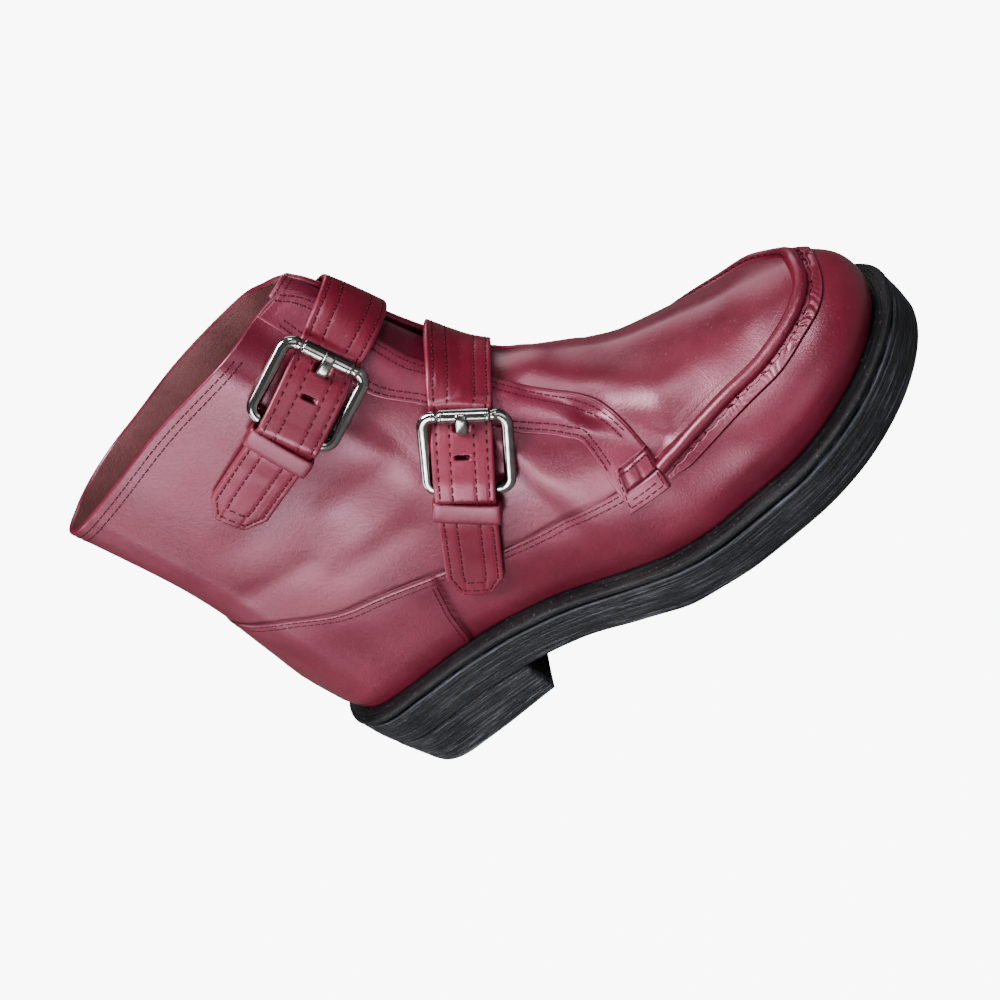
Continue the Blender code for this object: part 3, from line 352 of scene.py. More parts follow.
# By level, 0 at the outsole and 1 at the floor: inset of the sides, the back and the breast.
HEEL_LEVELS = (0.0, 0.12, 0.85, 0.96, 1.0)
HEEL_SIDES, HEEL_BACK, HEEL_BREAST = (1.2, 0.9, 2.1, 2.5, 3.4), (0.4, 0.6, 3.2, 4.0, 5.2), (0.0, 0.0, 1.4, 1.6, 2.4)
heel_rings, heel_marks, heel_wear = [], [], []
for down in np.concatenate(([0.0, 0.02, 0.05], np.linspace(0.08, 0.9, 26), [0.94, 0.97, 0.99, 1.0])):
    step = 0.35 * (1.0 - ease(0.0, 0.05, down))
    inset = np.interp(down, HEEL_LEVELS, HEEL_SIDES) + step + 0.06 * np.sin(down * 84.0)
    back = np.interp(down, HEEL_LEVELS, HEEL_BACK) + step
    breast = np.interp(down, HEEL_LEVELS, HEEL_BREAST)
    sides = []
    for side in ("lateral", "medial"):
        x, y = sole_outline(inset, side, HEEL_BLOCK_RUN)
        along = np.clip(x / HEEL_LENGTH, 0.0, 1.0)
        x = x + (back - inset) * (1.0 - along) ** 2 - breast * along ** 4
        sides.append(np.stack([x, y, (sole_under(x) - 0.25) * (1.0 - down)], -1))
    u = np.linspace(0.0, 1.0, BREAST_STEPS + 2)[1:-1, None]
    front = sides[0][-1] * (1.0 - u) + sides[1][-1] * u
    front[:, 0] -= 2.2 * np.sin(np.pi * u[:, 0])
    heel_rings.append(np.concatenate((sides[0], front, sides[1][::-1][:-1])))
    around_run = np.concatenate((HEEL_BLOCK_RUN, HEEL_LENGTH + 4.0 * np.arange(BREAST_STEPS),
                                 HEEL_BLOCK_RUN[::-1][:-1]))
    heel_marks.append(np.stack(np.broadcast_arrays(around_run, 22.0 + 20.0 * down, 0.0), -1))
    heel_wear.append(np.full(len(around_run), 0.9 if 0.93 < down < 0.995 else 0.0))


def closed_in(ring, share):
    """A ring drawn in towards its own middle, level with it."""
    middle = ring.mean(axis=0)
    return middle + (ring - middle) * share


heel_lid = [closed_in(heel_rings[0], share) for share in (0.0, 0.5)]
heel_floor = [closed_in(heel_rings[-1], share) for share in (0.7, 0.35, 0.0)]
no_wear = [np.zeros(len(heel_wear[0]))]
heel_marks = heel_marks[:1] * len(heel_lid) + heel_marks + heel_marks[-1:] * len(heel_floor)
heel_wear = no_wear * len(heel_lid) + heel_wear + no_wear * len(heel_floor)
piece("heel_stack", [np.array(heel_lid + heel_rings + heel_floor)], heel_black, "heel", (False, True),
      marks={"layer": [np.array(heel_marks)], "edge": [np.array(heel_wear)]}, turn_out=True)

# ---------------------------------------------------------------- lower wall and counter
# One wall of burgundy calf runs round the foot from the sole to the seams above it; at
# the heel it is the counter, lapped over the wall with two fine rows. It is lasted over
# the form, drawn under at the bottom and cemented between insole and midsole.
GAP, WALL = 0.3, 2.2  # above the sole, and the upper's thickness
# The fullest line's inset from the sole's edge, the feather edge's, and the fullest line's height.
BULGE_INSET, FEATHER_INSET, BULGE_RISE = 5.0, 7.5, 12.0
SECTION_X = (36, 60, 85, 110, 130, 147, 160, 175, 190, 205, 220, 240, 279)
CREST = (420, 420, 420, 400, 222, 176, 122, 102, 88, 79, 72.5, 65.5, 63)
POWER = (1.7, 1.7, 1.7, 1.7, 1.5, 1.4, 1.8, 1.8, 1.7, 1.6, 1.55, 1.6, 1.8)
BACK = ((40, 55, 70, 90, 115, 140, 165, 186), (7.5, 4.5, 4, 7, 11.5, 13, 11.5, 9.5))
FLARE = ((55, 90, 120, 150, 186), (0, -1, -2.5, -0.5, 2.5))
SEAM = ((-14, 8, 28, 56, 72.6, 94, 121.4, 138, 155.8, 169.4, 190),
        (117, 114, 107.5, 89.5, 83.6, 75, 65.7, 62.3, 60, 57.5, 55))
FRONT_EDGE = ((188, 189.6, 189.6, 188.6, 186.7, 183.4, 175, 166, 158.6,
               154.4, 152, 150, 148.6, 147.4, 146.0, 143.8, 140.5),
              (56, 61, 67, 73.7, 79.3, 84.4, 95, 107, 120,
               130.6, 138, 147, 155, 163, 169.5, 176, 181.5))
# The moccasin seam's line: where it leaves the tabs, its front, where it starts to turn.
RIDGE_FROM, RIDGE_TO, RIDGE_TURN, RIDGE_MIDDLE = 190.8, 264.3, 225.0, -0.8
SIDES = (("lateral", 1.0), ("medial", -1.0))  # each side, and which way its grids' normals turn


def toe_close(x, inset, power):
    """Superellipse factor, 1 at the ball and 0 at the toe's end."""
    q = np.clip((x - TOE_X) / (SOLE_LENGTH - inset - TOE_X), 0.0, 1.0)
    return np.maximum(1.0 - q ** power, 0.0) ** (1.0 / power)


def bulge_z(x):
    """Height of the fullest line."""
    return sole_top(x) + BULGE_RISE - 4.0 * np.clip((x - TOE_X) / 60.0, 0.0, 1.0)


def crest_row(x, inset=0.0):
    """The crest's height, set in by a distance square to its slope."""
    if inset == 0.0:
        return smooth(SECTION_X, CREST, x)
    shift = np.zeros_like(np.asarray(x, float))
    for _ in range(4):
        at = x + shift
        slope = smooth(SECTION_X, CREST, at + 0.5) - smooth(SECTION_X, CREST, at - 0.5)
        length = np.sqrt(1.0 + slope * slope)
        shift = -inset * slope / length
    return smooth(SECTION_X, CREST, x + shift) - inset / length


def crest_z(x, inset=0.0):
    """Height of the form along its middle: the crest, brought down round the toe."""
    low = bulge_z(x)
    return low + (crest_row(x, inset) - low) * toe_close(x, BULGE_INSET + inset, TOE_RISE_POWER)


def waist(x, z):
    """How far the sides stand out or in by height, behind the instep."""
    return smooth(*FLARE, z) * ease(0.0, 1.0, (135.0 - x) / 40.0)


def top_z(x, y, inset=0.0):
    """Height field of the instep and toe: a superellipse from the crest to the fullest line."""
    plan = np.where(y < 0, smooth(PLAN_X, PLAN["lateral"], x), smooth(PLAN_X, PLAN["medial"], x))
    wide = (plan - BULGE_INSET - inset) * toe_close(x, BULGE_INSET + inset, TOE_PLAN_POWER)
    power = smooth(SECTION_X, POWER, x)
    share = np.clip(np.abs(y) / np.maximum(wide, 1e-6), 0.0, 1.0)
    low = bulge_z(x)
    return low + (crest_z(x, inset) - low) * (1.0 - share ** power) ** (1.0 / power)


def wall_y(x, z, side):
    """Distance of the form's flank from the middle: the same superellipse, by height."""
    wide = (smooth(PLAN_X, PLAN[side], x) - BULGE_INSET) * toe_close(x, BULGE_INSET, TOE_PLAN_POWER)
    power = smooth(SECTION_X, POWER, x)
    low = bulge_z(x)
    share = np.clip((z - low) / (crest_z(x) - low), 0.0, 1.0)
    return wide * (1.0 - share ** power) ** (1.0 / power) + waist(x, z)


def form(run, rise, side, inset=0.0):
    """The lasted form: at each run a superellipse section, rise -1 at the feather edge,
    0 at the fullest line, 1 at the crest; superellipses in plan close heel and toe."""
    run, rise = np.broadcast_arrays(np.asarray(run, float), np.asarray(rise, float))
    fan = fan_at(run)
    sign = -1.0 if side == "lateral" else 1.0
    x_mid = np.clip(run, HEEL_X, TOE_X)
    wide = smooth(PLAN_X, PLAN[side], x_mid) - BULGE_INSET - inset
    bottom, low, crest = sole_top(x_mid) + GAP, bulge_z(x_mid), crest_row(x_mid, inset)
    out, up = arc(np.clip(rise, 0.0, 1.0) * np.pi / 2.0, smooth(SECTION_X, POWER, x_mid))
    under = np.clip(-rise, 0.0, 1.0)
    tuck = (FEATHER_INSET - BULGE_INSET) * under ** 2
    z = low + (crest - low) * up - (low - bottom) * under
    y = wide * out - tuck + waist(x_mid, z)
    heel_c, heel_s = arc(np.pi / 2.0 * np.clip(fan, 0.0, 1.0), HEEL_PLAN_POWER)
    x = np.where(fan < 1.0, HEEL_X - (HEEL_X - smooth(*BACK, z) - inset) * heel_c, x_mid)
    y = np.where(fan < 1.0, y * heel_s, y)
    toe_x, toe_y = arc(np.pi / 2.0 * (1.0 - np.clip(fan - 2.0, 0.0, 1.0)), TOE_PLAN_POWER)
    x_toe = TOE_X + ((SOLE_LENGTH - BULGE_INSET - inset - TOE_X) * out - tuck) * toe_x
    y_toe = (wide * out - tuck) * toe_y
    z_toe = np.where(rise >= 0.0, top_z(x_toe, sign * y_toe, inset),
                     bulge_z(x_toe) - (bulge_z(x_toe) - sole_top(x_toe) - GAP) * under)
    at_toe = fan > 2.0
    return np.stack([np.where(at_toe, x_toe, x), sign * np.where(at_toe, y_toe, y),
                     np.where(at_toe, z_toe, z)], -1)


def rise_at(run, z):
    """The rise whose height is z, behind the toe."""
    x = np.clip(run, HEEL_X, TOE_X)
    low = bulge_z(x)
    share = np.clip((z - low) / (crest_row(x) - low), 0.0, 1.0)
    up = np.arcsin(share ** (smooth(SECTION_X, POWER, x) / 2.0)) / (np.pi / 2.0)
    return np.where(z < low, (z - low) / (low - sole_top(x) - GAP), up)


def flank(run, z, side, inset=0.0):
    """The point of the form at a run and a height."""
    return form(run, rise_at(run, z), side, inset)


def outward(grid, sign):
    """Unit normals of a grid: the cross product of its two directions, turned by sign."""
    normal = np.cross(np.gradient(grid, axis=0), np.gradient(grid, axis=1)) * sign
    return normal / np.maximum(np.linalg.norm(normal, axis=-1), 1e-9)[..., None]


# Soft troughs and ridges where the boot bends: ends on the form (x, height or |y|), depth
# in mm (minus stands up), half width. The first list is on the flanks, the second on top.
FLANK_FOLDS = (
    ((150, 92), (128, 104), 0.36, 5), ((158, 84), (136, 88), 0.33, 4), ((120, 118), (92, 122), 0.39, 6),
    ((118, 106), (86, 104), -0.29, 7), ((104, 96), (70, 100), 0.33, 6), ((130, 128), (112, 138), 0.33, 6),
    ((92, 140), (58, 136), 0.39, 9), ((80, 122), (44, 128), -0.33, 10), ((66, 112), (40, 118), 0.33, 5),
    ((176, 72), (160, 78), 0.26, 4), ((150, 50), (118, 58), -0.39, 10), ((206, 40), (176, 44), 0.33, 8),
    ((104, 62), (84, 66), 0.23, 5), ((236, 40), (212, 38), -0.26, 9))
TOP_FOLDS = (
    ((206, 3), (246, 3), 0.6, 13), ((178, 6), (203, 26), -1.3, 9), ((182, 27), (197, 37), 1.5, 5),
    ((172, 17), (184, 27), 1.5, 5), ((205, 12), (232, 16), 0.7, 9), ((190, 2), (190, 14), -0.6, 8),
    ((168, 0), (168, 12), 0.8, 6), ((240, 4), (252, 10), -0.5, 10))
MEDIAL_RIM = ((208, 33), (247, 27), -3.2, 12)
MEDIAL_TOP_SHARE = 0.8  # the inner side's folds on top are shallower


def crown_spot(x, y):
    """The point of the form's top at x and y."""
    return np.array((x, y, float(top_z(np.array(float(x)), np.array(float(y))))))


fold_lines = []
for side, lean, share in (("lateral", -1.0, 1.0), ("medial", 1.0, MEDIAL_TOP_SHARE)):
    for start, end, depth, width in FLANK_FOLDS:
        fold_lines.append((*(flank(np.array([x]), np.array([z]), side)[0] for x, z in (start, end)), depth, width))
    for start, end, depth, width in TOP_FOLDS:
        fold_lines.append((*(crown_spot(x, lean * y) for x, y in (start, end)), depth * share, width))
fold_lines.append((*(crown_spot(x, y) for x, y in MEDIAL_RIM[:2]), *MEDIAL_RIM[2:]))


def folds(points):
    """How far the leather stands off the form: a bell across each fold line, eased at its ends."""
    height = np.zeros(points.shape[:-1])
    for start, end, depth, width in fold_lines:
        along = (points - start) @ (end - start) / np.dot(end - start, end - start)
        nearest = start + np.clip(along, 0.0, 1.0)[..., None] * (end - start)
        height -= depth * np.exp(-(np.linalg.norm(points - nearest, axis=-1) / width) ** 2)
    return height


def lay_on(grid, height, sign):
    """A grid raised off the form by height and by the folds. Returns points and normals."""
    normal = outward(grid, sign)
    raised = grid + normal * (height + folds(grid))[..., None]
    return raised, outward(raised, sign)


def both_ways(build):
    """Lateral front, round the heel, to the medial front, as one grid."""
    lateral, medial = build("lateral"), build("medial")
    return np.concatenate((lateral[::-1], medial[1:]))


def rounded(distance, radius):
    """Drop of a rounded edge, a quarter circle: 1 at the edge, 0 from radius inward."""
    t = np.clip(1.0 - np.asarray(distance, float) / radius, 0.0, 1.0)
    return 1.0 - np.sqrt(1.0 - t * t)


# Calf leather: fine pebbled grain, wandering hairline wrinkles, a warm mottled dye.
PEBBLES, PORES, WRINKLES, MOTTLE = 1150.0, 1900.0, 150.0, 34.0  # how fine each pattern is
calf_group, calf_in, calf_out = surface_group("calf_grain", (
    ("Height", "NodeSocketFloat"), ("Mottle", "NodeSocketFloat"), ("Wrinkle", "NodeSocketFloat")))


def calf_scale(fineness):
    """A pattern's scale: its fineness times the group's own scale."""
    return sums(calf_group, "MULTIPLY", calf_in.outputs["Scale"], fineness)


calf_place = add(calf_group, "ShaderNodeTexCoord").outputs["Object"]
calf_bend = add(calf_group, "ShaderNodeTexNoise", {"Vector": calf_place, "Scale": 60.0, "Detail": 3.0})
calf_warp = add(calf_group, "ShaderNodeVectorMath", {0: calf_bend.outputs["Color"], 1: (0.012, 0.012, 0.012)},
                operation="MULTIPLY").outputs[0]
calf_moved = add(calf_group, "ShaderNodeVectorMath", {0: calf_place, 1: calf_warp}, operation="ADD").outputs[0]
pebble = add(calf_group, "ShaderNodeTexVoronoi", {"Vector": calf_moved, "Scale": calf_scale(PEBBLES)},
             feature="SMOOTH_F1").outputs["Distance"]
pores = noise(calf_group, calf_moved, calf_scale(PORES), 2.0)
wander = noise(calf_group, calf_moved, calf_scale(WRINKLES), 2.5, 0.6)
off_line = sums(calf_group, "ABSOLUTE", sums(calf_group, "SUBTRACT", wander, 0.5))
mottle = noise(calf_group, calf_place, MOTTLE, 5.0, 0.6)
calf_group.links.new(sums(calf_group, "ADD", sums(calf_group, "MULTIPLY", pebble, 0.6),
                          sums(calf_group, "MULTIPLY", pores, 0.5)), calf_out.inputs["Height"])
calf_group.links.new(mottle, calf_out.inputs["Mottle"])
calf_group.links.new(band_of(calf_group, off_line, 0.0, 0.10, 1.0, 0.0), calf_out.inputs["Wrinkle"])


def leather(name, deep, main, worn_colour, grain=1.0, wrinkle=0.25, rough=(0.32, 0.44), coat=0.03, bump=0.00006):
    """Dyed and polished calf: mottled dye, grain and wrinkle relief, a paler worn edge. The
    wrinkle lines are painted a little darker, as shade in the creases. Where a piece marks
    painted shade, in seams, grooves, slots and under straps, the colour is painted near
    black, and a metallic share of that near-black colour takes the sheen away there."""
    made, tree, shader = begin(name, Coat_Weight=coat, Coat_Roughness=0.3, Specular_IOR_Level=1.0,
                               Specular_Tint=(1.0, 0.52, 0.68))
    calf = add(tree, "ShaderNodeGroup", node_tree=calf_group)
    calf.inputs["Scale"].default_value = grain
    lines_here = sums(tree, "MULTIPLY", calf.outputs["Wrinkle"], sums(tree, "ADD", mark(tree, "crease"), wrinkle))
    tone = mixed(tree, band_of(tree, calf.outputs["Mottle"], 0.3, 0.7), deep, main)
    # The wrinkle lines are painted a little darker, as shade in the creases.
    tone = mixed(tree, sums(tree, "MULTIPLY", lines_here, 0.2), tone, deep)
    painted_shade = mark(tree, "painted_shade")
    # Painted shade: where a piece marks shade, the colour goes toward near black, and a metallic share of it takes
    # the sheen away.
    tone = mixed(tree, painted_shade, tone, tuple(0.22 * v for v in deep))
    tree.links.new(band_of(tree, painted_shade, 0.0, 1.0, 0.0, 0.95), shader.inputs["Metallic"])
    edge = mark(tree, "edge")
    patchy = sums(tree, "MULTIPLY", edge, band_of(tree, calf.outputs["Mottle"], 0.25, 0.6, 0.65, 1.0))
    tone = mixed(tree, patchy, tone, worn_colour)
    tone = mixed(tree, dust(tree, 0.10), tone, (0.62, 0.50, 0.48))
    tree.links.new(tone, shader.inputs["Base Color"])
    rough_here = band_of(tree, calf.outputs["Mottle"], 0.3, 0.7, *rough)
    tree.links.new(sums(tree, "ADD", rough_here, sums(tree, "MULTIPLY", edge, 0.15)), shader.inputs["Roughness"])
    height = sums(tree, "SUBTRACT", calf.outputs["Height"], sums(tree, "MULTIPLY", lines_here, 0.5))
    relief = add(tree, "ShaderNodeBump", {"Height": height, "Strength": 1.0, "Distance": bump})
    tree.links.new(relief.outputs["Normal"], shader.inputs["Normal"])
    return made


DEEP, MAIN, WORN = (0.066, 0.0015, 0.0085), (0.113, 0.0030, 0.0155), (0.22, 0.024, 0.050)
calf_smooth = leather("burgundy_calf", DEEP, MAIN, WORN)

FINE_RUN = np.concatenate((np.linspace(-14, 36, 40)[:-1], np.linspace(36, 74, 24)[:-1],
                           np.linspace(74, 98, 44)[:-1], np.linspace(98, 186, 60)[:-1],
                           np.linspace(186, 215, 22)[:-1], np.linspace(215, 295, 84)))


def medial_in(x):
    """How far the apron's medial side is drawn in, to stay level on the steeper side."""
    return 4.1 * np.clip((232.0 - x) / 42.0, 0.0, 1.0) ** 2 * ease(180.0, 188.0, x)


def ridge_half(x):
    """Half width of the apron's outline; it turns across the toe as a superellipse."""
    turn = np.clip((x - RIDGE_TURN) / (RIDGE_TO - RIDGE_TURN), 0.0, 1.0)
    return (41.2 - 0.245 * (x - RIDGE_FROM)) * np.maximum(1.0 - turn ** 2.8, 0.0) ** (1.0 / 2.8)


def apron_line_rise(run, side):
    """The rise at which the form meets the apron's outline, found by trying each rise."""
    tries = np.linspace(0.0, 1.0, 400)
    x, y = np.moveaxis(form(run[:, None], tries[None, :], side), -1, 0)[:2]
    past_line = np.abs(y - RIDGE_MIDDLE) - ridge_half(x) + (y > 0) * medial_in(x) + 1.0
    outside = np.where(x > RIDGE_TO - 1.0, 1.0, past_line) > 0
    return tries[np.argmin(outside, axis=1)]


def counter_line(z):
    """Front edge of the counter by height."""
    return np.interp(z, (40, 45.3, 58.6, 72, 76), (76, 79.8, 85, 92.3, 94))


# Shares of the wall's height, the finest next to its top edge, where it turns over.
WALL_SHARES = np.concatenate((np.linspace(0.0, 0.3, 15)[:-1], np.linspace(0.3, 0.955, 44)[:-1],
                              1.0 - 0.045 * np.array((1.0, 0.8, 0.6, 0.42, 0.28, 0.17, 0.09, 0.04, 0.0))))
WALL_LIFT, WALL_DROP, COUNTER_LIFT = 0.45, 0.8, 0.55


def wall_base(side):
    """The wall on the form: from the feather edge to its seam, and in front to the apron."""
    seam_rise = rise_at(FINE_RUN, smooth(*SEAM, FINE_RUN))
    rise = np.where(FINE_RUN < 187, seam_rise, apron_line_rise(FINE_RUN, side))
    near = (FINE_RUN > 180) & (FINE_RUN < 196)
    rise[near] = np.interp(FINE_RUN[near], FINE_RUN[~near], rise[~near])
    return form(FINE_RUN[:, None], -1.0 + WALL_SHARES[None, :] * (rise[:, None] + 1.0), side)


def wall_height(grid, run):
    """Lift of the wall: proud of the panel above at its seam, the counter a step prouder."""
    below_seam = np.linalg.norm(np.diff(grid, axis=1), axis=-1)
    down = np.concatenate((np.cumsum(below_seam[:, ::-1], axis=1)[:, ::-1], np.zeros((len(grid), 1))), axis=1)
    fade = 1.0 - ease(183.0, 196.0, run)[:, None]
    lift = WALL_LIFT * fade * (1.0 - ease(6.0, 26.0, down)) - WALL_DROP * fade * rounded(down, 0.5)
    behind = counter_line(grid[..., 2]) - grid[..., 0]
    counter = ease(-1.1, 1.5, behind) * COUNTER_LIFT * (1.0 - ease(30.0, 55.0, behind))
    return lift + counter, down, behind, fade


wall_sheets, wall_marks, walls = [], {"edge": [], "painted_shade": [], "crease": []}, {}
for side, turn in SIDES:
    base = wall_base(side)
    lift, down, behind, fade = wall_height(base, FINE_RUN)
    raised, normal = lay_on(base, lift, turn)
    raised[:, :, 1] = np.where(np.abs(base[:, :, 1]) < 1e-6, 0.0, raised[:, :, 1])
    wall_sheets.append(raised)
    walls[side] = (raised, normal, down)
    # Painted shade: a dark line along the wall's seam, a line along the counter's front edge, and darker low down
    # where the wall meets the sole.
    seam_shade = 0.9 * np.exp(-(down / 0.75) ** 2) * fade
    counter_shade = 0.45 * np.exp(-((behind + 0.7) / 1.2) ** 2) * ease(1.0, 4.0, down)
    welt_shade = 0.5 * (base[:, :, 2] < sole_top(base[:, :, 0]) + 1.4)
    wall_marks["painted_shade"].append(seam_shade + counter_shade + welt_shade)
    wall_marks["edge"].append(0.1 * np.exp(-((down - 0.7) / 0.4) ** 2) * fade)
    wall_marks["crease"].append(0.35 * ease(60, 100, base[:, :, 0]) * (1 - ease(150, 190, base[:, :, 0])))
piece("lower_wall", wall_sheets, calf_smooth, "upper", flips=(False, True), marks=wall_marks)

# ---------------------------------------------------------------- vamp and apron
# One smooth piece of the same calf covers the toe inside the moccasin ridge and runs back
# under the straps. It is domed over the toes and dips beside the facings.
APRON_X = np.concatenate((np.linspace(157.5, 190, 40)[:-1], np.linspace(190, 240, 62)[:-1],
                          240 + (RIDGE_TO + 1.2 - 240) * np.sin(np.linspace(0, np.pi / 2, 46))))
APRON_SIDE = np.linspace(-1.0, 1.0, 97)
APRON_SUNK, APRON_DOME = 1.1, 0.9
# Half widths: by table under the quarters, and to just past the moccasin seam in front.
side_reach = np.interp(APRON_X, (157.5, 166, 175, 183, 187, 190, 194), (24, 25, 29, 34, 37.5, 40.3, 41.2))
apron_half = np.where(APRON_X > 194, ridge_half(np.minimum(APRON_X, RIDGE_TO - 0.02) - 0.6) + 0.8, side_reach)
apron_half = apron_half - medial_in(APRON_X) / 2.0
apron_middle = RIDGE_MIDDLE * ease(185, 200, APRON_X) - medial_in(APRON_X) / 2.0
apron_x = np.broadcast_to(APRON_X[:, None], (len(APRON_X), len(APRON_SIDE)))
apron_y = apron_middle[:, None] + apron_half[:, None] * APRON_SIDE[None, :]
apron = np.stack([apron_x, apron_y, top_z(apron_x, apron_y)], -1)


def apron_lift(x, y):
    """The apron sinks under the quarters and is domed over the toes."""
    inside = 1.0 - np.abs(y - np.interp(x, APRON_X, apron_middle)) / np.interp(x, APRON_X, apron_half)
    dome = ease(196, 215, x) * ease(0.03, 0.45, inside) * ease(262, 246, x)
    return APRON_SUNK * ease(188, 204, x) - APRON_SUNK + APRON_DOME * dome


apron_points, _ = lay_on(apron, apron_lift(apron_x, apron_y), 1.0)
piece("vamp_apron", [apron_points], calf_smooth, marks={"crease": [0.2 * (1 - ease(180, 215, apron_x))]})

# ---------------------------------------------------------------- quarters
# The quarters wrap the ankle from one facing round the heel to the other, in one piece of
# calf. The lower wall is lapped over them; their topline is turned over and stitched.
TOPLINE = ((-14, 36, 85, 125, 136, 140.5), (180.5, 182, 185, 184, 183, 181.5))


def close_spaced(count, length):
    """Shares of a length: fine steps at both ends, even ones between."""
    ends = np.array((0.0, 0.12, 0.3, 0.55, 0.9, 1.4, 2.2)) / length
    return np.concatenate((ends, np.linspace(ends[-1], 1.0 - ends[-1], count)[1:-1], 1.0 - ends[::-1]))


def close_at_end(count, near):
    """Shares of a length: even steps, and fine ones in the last near of it."""
    return np.concatenate((np.linspace(0.0, 1.0 - near, count)[:-1],
                           1.0 - near * np.array((1, 0.75, 0.5, 0.3, 0.15, 0.05, 0.0))))


def along_line(line, share):
    """Points at shares of the length of a curve drawn through a table's rows."""
    a, b = np.asarray(line[0], float), np.asarray(line[1], float)
    steps = np.concatenate(([0.0], np.cumsum(np.hypot(np.diff(a), np.diff(b)))))
    t = np.asarray(share) * steps[-1]
    return smooth(steps, a, t), smooth(steps, b, t)


def panel(bottom, top, front, share_a, share_b, side, inset=0.0):
    """Coons patch in run and height: bottom and top curves from the heel's back to the
    front, and the front curve from bottom to top, carried onto the form."""
    a, b = share_a[:, None], share_b[None, :]
    b_run, b_z = (v[:, None] for v in along_line(bottom, share_a))
    t_run, t_z = (v[:, None] for v in along_line(top, share_a))
    f_run, f_z = (v[None, :] for v in along_line(front, share_b))
    back_run = b_run[0, 0] + (t_run[0, 0] - b_run[0, 0]) * b
    back_z = b_z[0, 0] + (t_z[0, 0] - b_z[0, 0]) * b
    run = ((1 - b) * b_run + b * t_run + (1 - a) * back_run + a * f_run
           - ((1 - a) * (1 - b) * b_run[0, 0] + a * (1 - b) * b_run[-1, 0]
              + (1 - a) * b * t_run[0, 0] + a * b * t_run[-1, 0]))
    z = ((1 - b) * b_z + b * t_z + (1 - a) * back_z + a * f_z
         - ((1 - a) * (1 - b) * b_z[0, 0] + a * (1 - b) * b_z[-1, 0]
            + (1 - a) * b * t_z[0, 0] + a * b * t_z[-1, 0]))
    return flank(run, z, side, inset)


def reach_from(grid, axis, end):
    """Distance in mm along the grid lines from one end of an axis."""
    step = np.linalg.norm(np.diff(grid, axis=axis), axis=-1)
    if end:
        step = np.flip(step, axis)
    pad = [(0, 0), (0, 0)]
    pad[axis] = (1, 0)
    run = np.pad(np.cumsum(step, axis=axis), pad)
    return np.flip(run, axis) if end else run


def turned_edge(points, normal, ahead, depth, turns=9):
    """Rows that roll an edge over: a half circle from the outer face to depth below it."""
    angle = np.linspace(0.0, np.pi, turns)[1:, None, None]
    radius = depth / 2.0
    ahead = ahead / np.maximum(np.linalg.norm(ahead, axis=-1), 1e-9)[..., None]
    return points - normal * radius * (1.0 - np.cos(angle)) + ahead * radius * np.sin(angle)


quarter_a, quarter_b = close_at_end(150, 0.015), close_at_end(92, 0.025)
under_seam = (SEAM[0], tuple(z - 7.0 for z in SEAM[1]))
quarter_base = both_ways(lambda side: panel(under_seam, TOPLINE, FRONT_EDGE, quarter_a, quarter_b, side))
quarter_points, quarter_normals = lay_on(quarter_base, np.zeros(quarter_base.shape[:2]), -1.0)


def with_rims(points, normals, depth):
    """A quarter-shaped grid with its topline and both front edges rolled over."""
    top = turned_edge(points[:, -1], normals[:, -1], points[:, -1] - points[:, -3], depth)
    ends = [turned_edge(points[k], normals[k], points[k] - points[j], depth) for k, j in ((0, 2), (-1, -3))]
    grid = np.concatenate((points, np.transpose(top, (1, 0, 2))), axis=1)
    corner = [np.repeat(e[:, -1:], top.shape[0], axis=1) for e in ends]
    return np.concatenate((np.concatenate((ends[0], corner[0]), axis=1)[::-1], grid,
                           np.concatenate((ends[1], corner[1]), axis=1)))


quarter_grid = with_rims(quarter_points, quarter_normals, WALL)
quarter_x, quarter_z = quarter_grid[..., 0], quarter_grid[..., 2]
quarter_crease = 0.28 * ease(80, 130, quarter_x) * ease(185, 160, quarter_x) * ease(150, 110, quarter_z)
heel_turn = np.arccos(np.clip((HEEL_X - quarter_x) / (HEEL_X - 9.0), 0, 1)) / (np.pi / 2)
quarter_run = np.where(quarter_x < HEEL_X, HEEL_X - HEEL_RUN * (1.0 - heel_turn), quarter_x)
seam_shadow = 0.8 * np.exp(-((quarter_z - smooth(*SEAM, quarter_run) - 0.3) / 0.9) ** 2)
piece("quarters", [quarter_grid], calf_smooth, flips=(True,), marks={
    "crease": [quarter_crease + 0.15], "painted_shade": [seam_shadow]})

# ---------------------------------------------------------------- facings
# A band of the same calf is laid over each quarter's front edge, from the topline's
# corner down to the tab. Its cut edges are inked a little paler, and it is sewn with two
# rows along each side. Walking has broken its surface into fine glossy wrinkles.
REAR_EDGE = ((170, 172, 174, 174.8, 171, 161.6, 152, 145, 135.7, 133.2, 132, 130.7),
             (50, 60, 68, 76, 82, 93, 107, 124, 141, 160, 174.5, 183.4))
FACING_LIFT, FACING_DROP, FACING_THICK = 0.7, 0.9, 1.3
# The creased calf is a copy of the burgundy calf with more wrinkles and paler tones; the paler tones are painted
# sheen. It covers the facings, the tongue and the tabs.
calf_creased_painted_sheen = leather("burgundy_calf_creased", (0.080, 0.0030, 0.014), (0.150, 0.0090, 0.031), WORN, wrinkle=0.35)


def facing_panel(side, share_t, share_q):
    """The band on the form: straight in run and height from its front edge to its rear."""
    f_run, f_z = along_line(FRONT_EDGE, share_t)
    r_run, r_z = along_line(REAR_EDGE, share_t)
    q = share_q[None, :]
    return flank(f_run[:, None] * (1 - q) + r_run[:, None] * q, f_z[:, None] * (1 - q) + r_z[:, None] * q, side)


